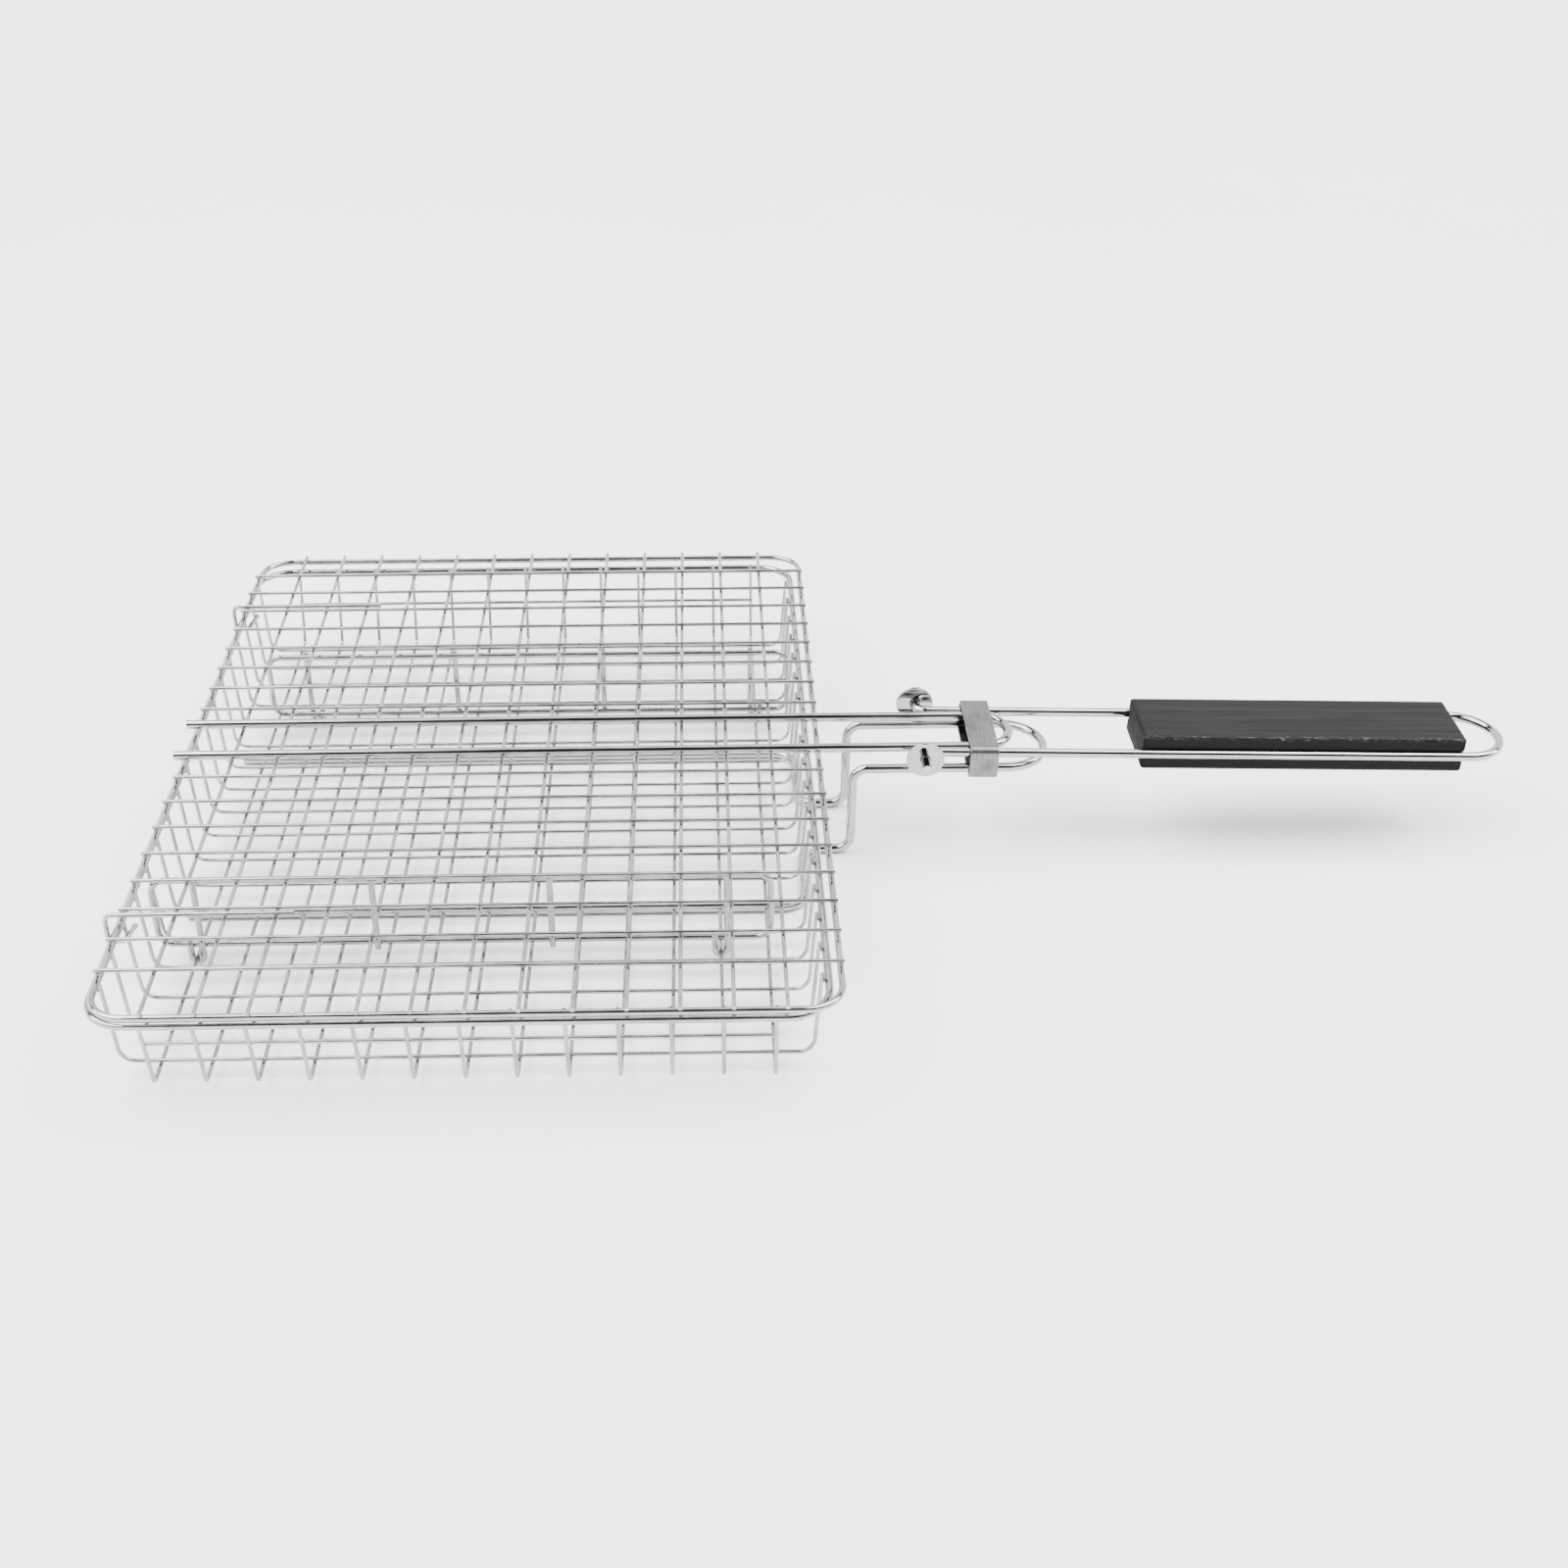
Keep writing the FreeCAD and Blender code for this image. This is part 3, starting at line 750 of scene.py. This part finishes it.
@dataclass(frozen=True)
class PaleFloor(Finish):
    """Plain pale card with a very faint mottle."""

    metallic: float = 0.0

    def build(self) -> bpy.types.Material:
        """Make the material.

        Returns:
            The material.
        """
        material, nodes = self.start()
        mottle = nodes.noise(nodes.scaled("Object", (1, 1, 1)), 3.0, 4.0)
        colour = nodes.ramp(mottle, [(0.3, (0.90, 0.90, 0.90)), (0.7, (0.93, 0.93, 0.93))])
        nodes.join(colour, nodes.shader.inputs["Base Color"])
        nodes.shader.inputs["Roughness"].default_value = 0.9
        nodes.shader.inputs["Specular IOR Level"].default_value = 0.1
        return material


def dress(piece: bpy.types.Object, material: bpy.types.Material) -> None:
    """Give an object one material in place of any that it has.

    Args:
        piece: The object.
        material: The material.
    """
    if piece.material_slots:
        for slot in piece.material_slots:
            slot.material = material
    else:
        piece.data.materials.append(material)


# ---------------------------------------------------------------- sub-assemblies


@dataclass
class WoodGrip:
    """The grip: a block with a groove along each side for the handle's wires.

    Attributes:
        long: Its length.
        half_wide: Half its width.
        half_high: Half its height.
        edge: The radius of its four long edges.
        groove: The radius of the grooves.
        groove_at: How far a groove's middle is from the grip's.
        round_off: The rounding of its two ends.
        wear_reach: How far from an upper edge the wear starts, and where it is full.
        rows: How many sections it has along its length.
    """

    long: float = 138 * MM
    half_wide: float = 17 * MM
    half_high: float = 8 * MM
    edge: float = 1.5 * MM
    groove: float = 2.15 * MM
    groove_at: float = 17.5 * MM
    round_off: float = 1.6 * MM
    wear_reach: tuple[float, float] = (1.9 * MM, 0.6 * MM)
    rows: int = 240

    def section(self) -> Array:
        """The grip's outline across its length.

        It is a rounded rectangle, and any point inside a groove's circle is pushed out of it,
        level, onto the circle: y = middle - square root of (radius squared - z squared).

        Returns:
            Points of y and z.
        """
        outline = rounded_rectangle((self.half_wide, self.half_high), self.edge, 34, 9)
        y, z = outline[:, 0].copy(), outline[:, 1]
        inside = np.sqrt(np.clip(self.groove ** 2 - z ** 2, 0, None))
        wall = self.groove_at - inside
        return np.stack([np.sign(y) * np.where((np.abs(y) > wall) & (inside > 0),
                                               wall, np.abs(y)), z], -1)

    def surface(self, origin: Array) -> Sheet:
        """The grip's skin: its outline carried along it, drawn in at both ends.

        Near an end the outline shrinks by the rounding r less the height of a quarter circle
        at that depth.  The flats rise and fall a little with the grain.

        Args:
            origin: Where the grip's middle goes.

        Returns:
            The surface, with its wear.
        """
        outline = self.section()
        round_off = self.round_off
        near_end = round_off * (1 - np.cos(np.linspace(0, pi / 2, 7)))
        x = np.concatenate([near_end, np.linspace(round_off, self.long - round_off,
                                                  self.rows)[1:-1],
                            self.long - near_end[::-1]])
        depth = np.clip(np.minimum(x, self.long - x), 0, round_off)
        shrink = round_off - np.sqrt(round_off ** 2 - (round_off - depth) ** 2)
        normal = outward(outline)
        grid = np.empty((len(x), len(outline), 3))
        grid[..., 0] = (x - self.long / 2)[:, None]
        grid[..., 1:] = outline - normal * shrink[:, None, None]
        grain = wander(np.arange(len(outline)) * 1.0, 2.0, 5)[None] * 0.05 * MM
        flats = np.abs(outline[:, 0]) < self.half_wide - self.edge
        grid[..., 1:] += normal * np.where(flats, grain, 0)[..., None]
        grid = closed_ends(grid)
        wear = np.pad(self.worn(outline, x), ((1, 1), (0, 0)))
        return Sheet(drooped(grid, origin), False, True, wear)

    def worn(self, outline: Array, x: Array) -> Array:
        """How much the stain is worn: most along the upper near edge, least on the faces.

        Args:
            outline: The grip's outline.
            x: The places of its sections.

        Returns:
            A share from 0 to 1, sections by outline points.
        """
        share = np.zeros((len(x), len(outline)))
        start, full = self.wear_reach
        for side, most in ((-1, 1.0), (1, 0.5)):
            corner = np.array([side * self.half_wide, self.half_high])
            reach = np.linalg.norm(outline - corner, axis=1)
            uneven = 0.6 + 0.4 * wander(x, 5 * MM, 31 + side)[:, None]
            share += most * smooth_step(-reach, -start, -full)[None] * uneven
        return np.clip(share, 0, 1)

    def build(self) -> None:
        """Make the grip and put it on the handle."""
        piece = self.surface(centre_of("handle_grip")).make("wood_grip")
        merge_poles(piece)
        dress(piece, StainedWood("stained_wood").build())
        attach(piece, "handle")
        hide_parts("handle_grip")
        log.info("wood grip: %d points", len(piece.data.vertices))


@dataclass
class LockClip:
    """The closed band of flat strip round the handle's wires and both tongues.

    Attributes:
        long: Its length along the handle.
        thick: The strip's thickness.
        half_wide: Half the width of the middle of its strip.
        half_high: Half the height of the middle of its strip.
        bend: The radius of the middle of its strip at the corners.
        burr: The radius of the strip's edges.
        bow: How far its flats are bowed.
        wave: How far the strip's edges wave.
    """

    long: float = 12 * MM
    thick: float = 1.2 * MM
    half_wide: float = 21.6 * MM
    half_high: float = 6.925 * MM
    bend: float = 2.6 * MM
    burr: float = 0.35 * MM
    bow: float = 0.12 * MM
    wave: float = 0.04 * MM

    def surface(self, origin: Array) -> Sheet:
        """The band's skin: the strip's section carried round the band's outline.

        A point is the outline's point, plus the outline's normal times the height in the
        section, plus the place along the handle.  The flats are bowed by a hair, as half a
        wave across each, and the strip's edges wave a little.

        Args:
            origin: Where the band's middle goes.

        Returns:
            The surface, closed both ways.
        """
        outline = rounded_rectangle((self.half_wide, self.half_high), self.bend, 26, 9)
        normal = outward(outline)
        section = rounded_rectangle((self.long / 2, self.thick / 2), self.burr, 14, 5)
        bow = self.bow * np.cos(np.clip(outline[:, 0] / self.half_wide, -1, 1) * pi / 2)
        bow = np.where(np.abs(outline[:, 1]) > self.half_high - 0.1 * MM, bow, 0.0)
        middle = outline - normal * bow[:, None]
        grid = np.empty((len(outline), len(section), 3))
        ripple = self.wave * wander(np.arange(len(outline)) * 1.0, 6.0, 3)
        edge = np.sign(section[:, 0]) * (np.abs(section[:, 0]) > self.long / 2 - 0.5 * MM)
        grid[..., 0] = section[:, 0] - ripple[:, None] * edge
        grid[..., 1:] = middle[:, None] + normal[:, None] * section[:, 1][None, :, None]
        return Sheet(drooped(grid, origin), True, True)

    def build(self) -> None:
        """Make the clip and put it on its own body."""
        piece = self.surface(centre_of("lock_clip")).make("lock_clip_band")
        dress(piece, BrushedBand("brushed_band").build())
        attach(piece, "clip")
        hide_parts("lock_clip")
        log.info("lock clip: %d points", len(piece.data.vertices))


@dataclass
class StopDisc:
    """One of the two discs on the handle's cross bends.

    Attributes:
        side: "near" or "far".
        radius: The disc's radius.
        hole: The radius of its hole.
        thick: Its thickness.
        rim: The rounding of its rim.
        dome: How far its faces rise towards the hole.
        steps: How many sections stand round it.
    """

    side: str
    radius: float = 8 * MM
    hole: float = 2.03 * MM
    thick: float = 1.5 * MM
    rim: float = 0.4 * MM
    dome: float = 0.12 * MM
    steps: int = 96

    def surface(self, origin: Array) -> Sheet:
        """The disc's skin: its half section turned round the disc's axis.

        A point is (r cos a, y, r sin a), where r and y follow the half section, a rounded
        rectangle between the hole and the rim, and a goes through a full turn.

        Args:
            origin: Where the disc's middle goes.

        Returns:
            The surface, closed both ways.
        """
        half_width = (self.radius - self.hole) / 2
        section = rounded_rectangle((half_width, self.thick / 2), self.rim, 10, 6)
        r = section[:, 0] + self.hole + half_width
        lift = 1 - (r - self.hole) / (self.radius - self.hole)
        y = section[:, 1] - np.sign(section[:, 1]) * self.dome * (1 - lift)
        angle = np.linspace(0, 2 * pi, self.steps, endpoint=False)[:, None]
        grid = np.stack([r * np.cos(angle), np.broadcast_to(y, (self.steps, len(r))),
                         r * np.sin(angle)], -1)
        return Sheet(drooped(grid, origin), True, True)

    def build(self) -> None:
        """Make the disc and put it on the handle."""
        node = f"{self.side}_stop_disc"
        centre = centre_of(node)
        piece = self.surface(centre).make(f"{self.side}_disc")
        finish = TurnedDisc(f"turned_disc_{self.side}", centre=tuple(centre))
        dress(piece, finish.build())
        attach(piece, "handle")
        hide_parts(node)
        log.info("%s disc: %d points", self.side, len(piece.data.vertices))


@dataclass
class WeldBeads:
    """Beads of melted metal in one plane, where wires cross or meet.

    Attributes:
        name: The piece's name.
        body: The body that they ride on.
        material: Their material.
        places: Where the beads are, a list of arrays of points.
        sizes: Half the size along X, Y and Z of the beads in each array.
    """

    name: str
    body: str
    material: bpy.types.Material
    places: list[Array] = field(default_factory=list)
    sizes: list[Array] = field(default_factory=list)

    def add(self, xs: Array, ys: Array, zs: Array,
            size: tuple[float, float, float]) -> None:
        """Add beads at places whose coordinates are spread over each other.

        Args:
            xs: Places along X.
            ys: Places along Y.
            zs: Places along Z.
            size: Half the size of each bead along X, Y and Z, in millimetres.
        """
        x, y, z = np.broadcast_arrays(*(np.asarray(part, float) for part in (xs, ys, zs)))
        points = np.stack([x.ravel(), y.ravel(), z.ravel()], -1)
        self.places.append(points)
        self.sizes.append(np.broadcast_to(np.array(size) * MM, points.shape))

    def surface(self) -> Sheet:
        """All the beads as copies of one small closed shape.

        The shape is a ball, (cos t cos a, cos t sin a, sin t), whose sides are pinched to a
        blunt cross by dividing by the larger of |cos a| and |sin a| to a small power, then
        scaled to each bead's size and varied by up to a sixth.

        Returns:
            The surface with one grid for each bead.
        """
        turn = np.linspace(0, 2 * pi, 8, endpoint=False)[None, :]
        rise = np.linspace(-pi / 2, pi / 2, 5)[:, None]
        blunt = np.maximum(np.abs(np.cos(turn)), np.abs(np.sin(turn))) ** -0.35
        ball = np.stack([np.cos(rise) * np.cos(turn) * blunt,
                         np.cos(rise) * np.sin(turn) * blunt,
                         np.sin(rise) + 0 * turn], -1)
        points, sizes = np.concatenate(self.places), np.concatenate(self.sizes)
        vary = np.random.default_rng(len(points)).uniform(0.84, 1.12, (len(points), 3))
        grid = points[:, None, None] + ball[None] * (sizes * vary)[:, None, None]
        return Sheet(grid, False, True)

    def build(self) -> None:
        """Make the beads and put them on their body."""
        piece = self.surface().make(self.name)
        merge_poles(piece)
        dress(piece, self.material)
        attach(piece, self.body)
        log.info("%s: %d beads", self.name, sum(len(part) for part in self.places))


@dataclass
class WireWork:
    """The bent wires, which are the CAD's own nodes, with their finishes and their welds.

    Attributes:
        cross_steps: Steps of the mesh from the middle to each cross wire.
        basket_steps: Steps from the middle to each long wire of one half of the basket.
        lid_steps: The same for the lid.
    """

    cross_steps: Array = field(default_factory=lambda: np.arange(-6, 7) * PITCH)
    basket_steps: Array = field(default_factory=lambda: (np.arange(9) + 0.5) * PITCH)
    lid_steps: Array = field(default_factory=lambda: (np.arange(8) + 1.5) * PITCH)

    def both_sides(self, steps: Array) -> Array:
        """The steps of one half and their mirror image, in order."""
        return np.concatenate([-steps[::-1], steps])

    def finish_nodes(self) -> None:
        """Give each wire node the finish that suits the way it runs."""
        basket_x = float(centre_of("basket_cross_wires")[0])
        lid_x = float(centre_of("lid_cross_wires")[0])
        floor = Crossings(basket_x, 0.5 * PITCH)
        lid = Crossings(lid_x, 0.5 * PITCH)
        finishes = {
            PolishedWire("mesh_wire_basket_cross", drawn=DrawnAlong.Y, gloss=MESH_GLOSS,
                         crossings=floor): ["basket_cross_wires"],
            PolishedWire("mesh_wire_basket_long", gloss=MESH_GLOSS, crossings=floor):
                ["basket_long_wires_near", "basket_long_wires_far",
                 "wall_stiffener_near", "wall_stiffener_far"],
            PolishedWire("mesh_wire_lid_cross", drawn=DrawnAlong.Y, gloss=MESH_GLOSS,
                         crossings=lid): ["lid_cross_wires"],
            PolishedWire("mesh_wire_lid_long", gloss=MESH_GLOSS, crossings=lid):
                ["lid_long_wires_near", "lid_long_wires_far"],
            PolishedWire("frame_wire"): ["basket_rim", "lid_frame", "near_divider_frame",
                                         "far_divider_frame", "near_divider_rail",
                                         "far_divider_rail"],
            PolishedWire("upright_wire", drawn=DrawnAlong.Z):
                ["basket_wall_wires_near", "basket_wall_wires_far",
                 "near_divider_rods", "far_divider_rods",
                 "near_divider_feet", "far_divider_feet"],
            PolishedWire("hook_wire", gloss=(0.10, 0.22)):
                ["hinge_hook_near", "hinge_hook_far"],
            PolishedWire("thick_wire", light=(0.42, 0.42, 0.425), dark=(0.33, 0.33, 0.335),
                         gloss=(0.05, 0.12)): ["bottom_tongue", "lid_tongue", "handle_wire"],
        }
        for finish, nodes in finishes.items():
            material = finish.build()
            for node in nodes:
                dress(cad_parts[node], material)
            log.info("%s on %s", finish.name, ", ".join(nodes))

    def lid_welds(self, material: bpy.types.Material) -> None:
        """The lid's beads: at each crossing, on the frame, and under the tongue and hooks.

        Args:
            material: The beads' material.
        """
        centre = centre_of("lid_cross_wires")
        xs = centre[0] + self.cross_steps
        ys = self.both_sides(self.lid_steps)
        top = centre[2] + MESH_RADIUS
        low, high = corners_of("lid_frame")
        inset = (high[2] - low[2]) / 2
        beads = WeldBeads("lid_weld_beads", "lid", material)
        beads.add(xs[:, None], ys[None], top, CROSSING_BEAD)
        beads.add(xs[:, None], [low[1] + inset, high[1] - inset], high[2], LID_EDGE_BEAD)
        long_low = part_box("lid_long_wires_near")[0][2]
        beads.add([[low[0] + inset], [high[0] - inset]], ys[None],
                  (high[2] + long_low) / 2, LID_END_BEAD)
        tongue_low, tongue_high = corners_of("lid_tongue")
        rod = tongue_high[1] - THICK_RADIUS
        beads.add(xs[:, None], [-rod, rod], tongue_low[2], THICK_WIRE_BEAD)
        for side in ("near", "far"):
            hook = centre_of(f"hinge_hook_{side}")
            hook_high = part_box(f"hinge_hook_{side}")[1]
            beads.add(xs[:4], hook[1], hook_high[2] - HOOK_THICKNESS, HOOK_BEAD)
        beads.build()

    def basket_welds(self, material: bpy.types.Material) -> None:
        """The basket's beads: at the floor's crossings, the rim, the stiffeners and the rods.

        Args:
            material: The beads' material.
        """
        low, high = corners_of("basket_cross_wires")
        xs = (low[0] + high[0]) / 2 + self.cross_steps
        ys = self.both_sides(self.basket_steps)
        contact = low[2] + 2 * MESH_RADIUS
        rim_low, rim_high = corners_of("basket_rim")
        rim_radius = (rim_high[2] - rim_low[2]) / 2
        rim_level = (rim_high[2] + rim_low[2]) / 2
        beads = WeldBeads("basket_weld_beads", "basket", material)
        beads.add(xs[:, None], ys[None], contact, CROSSING_BEAD)
        inner = 2 * rim_radius
        beads.add(xs[:, None], [rim_low[1] + inner, rim_high[1] - inner], rim_level,
                  RIM_SIDE_BEAD)
        beads.add([[rim_low[0] + inner], [rim_high[0] - inner]], ys[None], rim_level,
                  RIM_END_BEAD)
        for side, out in SIDES:
            bar = centre_of(f"wall_stiffener_{side}")
            beads.add(xs, bar[1] + out * MESH_RADIUS, bar[2], STIFFENER_BEAD)
        tongue_low, tongue_high = corners_of("bottom_tongue")
        wide = tongue_high[1] - THICK_RADIUS
        under = xs[xs > tongue_low[0]]
        beads.add(under[:, None], [-wide, wide], low[2], THICK_WIRE_BEAD)
        for side, out in SIDES:
            self.divider_welds(beads, side, out)
        beads.build()

    def divider_welds(self, beads: WeldBeads, side: str, out: int) -> None:
        """One divider's beads: where its rods cross its loop and rail, and the rail's ends.

        Args:
            beads: The beads that these are added to.
            side: "near" or "far".
            out: -1 or 1, the side of its panel that its rods are on.
        """
        low, high = corners_of(f"{side}_divider_frame")
        radius = (high[1] - low[1]) / 2
        panel = (low[1] + high[1]) / 2
        rods_low, rods_high = corners_of(f"{side}_divider_rods")
        first, second = rods_low[0] + radius, rods_high[0] - radius
        xs = np.array([2 * first - second, first, second, 2 * second - first])
        levels = np.array([low[2] + radius, (low[2] + high[2]) / 2, high[2] - radius])
        beads.add(xs[:, None], panel + out * radius, levels[None], ROD_BEAD)
        ends = np.array([low[0] + 2 * radius, high[0] - 2 * radius])
        beads.add(ends, panel, levels[1], RAIL_END_BEAD)

    def build(self) -> None:
        """Finish the wires and add the welds."""
        self.finish_nodes()
        metal = WeldMetal("weld_metal").build()
        self.lid_welds(metal)
        self.basket_welds(metal)


# ---------------------------------------------------------------- the studio


@dataclass
class Studio:
    """The floor, the lights, the surroundings and the camera.

    Attributes:
        eye: Where the camera is.
        aim: The camera's turns about X, Y and Z, in degrees.
        lens: Its focal length, in millimetres on a 36 mm sensor.
        shift: The shift of its picture.
        floor_half: Half the size of the floor.
        box_at: Where the right one of the two soft lights is; the left one is its mirror image.
        box_size: Their width and height.
        box_power: The power of each in watts.
    """

    eye: tuple[float, float, float] = (-0.06043, -0.75286, 0.49085)
    aim: tuple[float, float, float] = (58.4924, 0.1502, -1.0647)
    lens: float = 46.658
    shift: tuple[float, float] = (0.03363, -0.00666)
    floor_half: float = 7.0
    box_at: tuple[float, float, float] = (0.95, -0.1, 1.4)
    box_size: tuple[float, float] = (1.2, 0.8)
    box_power: float = 16.0

    def camera(self) -> None:
        """Make the camera."""
        data = bpy.data.cameras.new("camera")
        data.sensor_width = 36.0
        data.lens = self.lens
        data.shift_x, data.shift_y = self.shift
        data.clip_start = 0.01
        view = bpy.data.objects.new("camera", data)
        view.location = self.eye
        view.rotation_euler = Euler([radians(turn) for turn in self.aim])
        bpy.context.scene.collection.objects.link(view)
        bpy.context.scene.camera = view

    def floor(self) -> None:
        """Make the floor: a flat grid just under the lowest wire."""
        line = np.linspace(-self.floor_half, self.floor_half, 9)
        x, y = np.meshgrid(line, line, indexing="ij")
        level = float(CAD_BOX[0][2]) - 0.05 * MM
        sheet = Sheet(np.stack([x, y, np.full_like(x, level)], -1), False, False)
        piece = sheet.make("floor")
        dress(piece, PaleFloor("pale_floor").build())

    def soft_box(self, name: str, side: int) -> None:
        """Add a soft rectangular light that points at the part.

        Args:
            name: The light's name.
            side: -1 for the left one, 1 for the right one.
        """
        place = (side * self.box_at[0], *self.box_at[1:])
        data = bpy.data.lights.new(name, "AREA")
        data.shape = "RECTANGLE"
        data.size, data.size_y = self.box_size
        data.energy = self.box_power
        lamp = bpy.data.objects.new(name, data)
        lamp.location = place
        direction = -np.array(place) / np.linalg.norm(place)
        pitch = np.arctan2(np.hypot(direction[0], direction[1]), -direction[2])
        lamp.rotation_euler = (pitch, 0.0, np.arctan2(-direction[0], direction[1]))
        bpy.context.scene.collection.objects.link(lamp)

    def surroundings(self) -> None:
        """The room that the wires reflect, as the light of the world."""
        world = bpy.data.worlds.new("pale_room")
        bpy.context.scene.world = world
        world.use_nodes = True
        RoomNodes(world.node_tree).build()

    def build(self) -> None:
        """Make everything round the part."""
        self.camera()
        self.floor()
        for name, side in (("overhead_left", -1), ("overhead_right", 1)):
            self.soft_box(name, side)
        self.surroundings()
        log.info("studio built")


class RoomNodes(Nodes):
    """The nodes of the room's own light: dark in front, bright overhead, dark at the back.

    Attributes:
        PALE: The light at both horizons.
        DARK: The light of the two dark bands.
        BRIGHT: The light overhead.
        HORIZON: The levels where the pale of the front horizon ends and the dark begins.
        FRONT_FADE: How far the dark of the front takes to turn bright.
        BACK_FADE: How far the bright of the top takes to turn dark.
        BACK_PALE: The levels where the dark of the back ends and the pale begins.
    """

    PALE = (2.5,) * 3
    DARK = (0.05,) * 3
    BRIGHT = (8.0,) * 3
    HORIZON = (0.009, 0.017)
    FRONT_FADE = 0.07
    BACK_FADE = 0.05
    BACK_PALE = (0.825, 0.87)

    def __init__(self, tree: bpy.types.NodeTree) -> None:
        """Keep the tree and its background node."""
        self.tree = tree
        self.shader = tree.nodes["Background"]

    def band(self, level: bpy.types.NodeSocket, front: float,
             back: float) -> bpy.types.NodeSocket:
        """The room's light from the front horizon, 0, over the top, 0.5, to the back, 1.

        Args:
            level: The direction's level.
            front: Where the dark of the front ends.
            back: Where the light of the top ends.

        Returns:
            The colour socket.
        """
        return self.ramp(level, [
            (self.HORIZON[0], self.PALE), (self.HORIZON[1], self.DARK),
            (front, self.DARK), (front + self.FRONT_FADE, self.BRIGHT),
            (back, self.BRIGHT), (back + self.BACK_FADE, self.DARK),
            (self.BACK_PALE[0], self.DARK), (self.BACK_PALE[1], self.PALE)])

    def build(self) -> None:
        """Join the direction's angle to the room's colour.

        The level of a direction follows its angle in the upright plane across the room: it is
        half of one plus the angle's cosine, y over the square root of (y squared plus z
        squared).  The left, the middle and the sides of the room have bands of their own.
        """
        place = self.add("TexCoord")
        parts = self.add("SeparateXYZ")
        self.join(place.outputs["Generated"], parts.inputs["Vector"])
        y, z = parts.outputs["Y"], parts.outputs["Z"]
        across = self.math("SQRT", self.math("MULTIPLY_ADD", y, y,
                                             self.math("MULTIPLY", z, z)))
        lean = self.math("DIVIDE", y, across)
        level = self.spread(lean, 0.0, 1.0, -1.0, 1.0)
        left, sides = self.band(level, 0.08, 0.72), self.band(level, 0.27, 0.72)
        middle = self.band(level, 0.54, 0.66)
        x = parts.outputs["X"]
        colour = self.blend(self.spread(x, 1.0, 0.0, -0.42, -0.24), sides, left)
        near_middle = self.math("MULTIPLY", self.spread(x, 0.0, 1.0, -0.24, -0.10),
                                self.spread(x, 1.0, 0.0, 0.07, 0.20))
        self.join(self.blend(near_middle, colour, middle), self.shader.inputs["Color"])
        self.shader.inputs["Strength"].default_value = 1.0


def main() -> None:
    """Build the studio and the part's looks, and report each piece."""
    logging.basicConfig(level=logging.INFO, format="%(name)s: %(message)s")
    Studio().build()
    WireWork().build()
    WoodGrip().build()
    for side in ("near", "far"):
        StopDisc(side).build()
    LockClip().build()


if __name__ == "__main__":
    main()
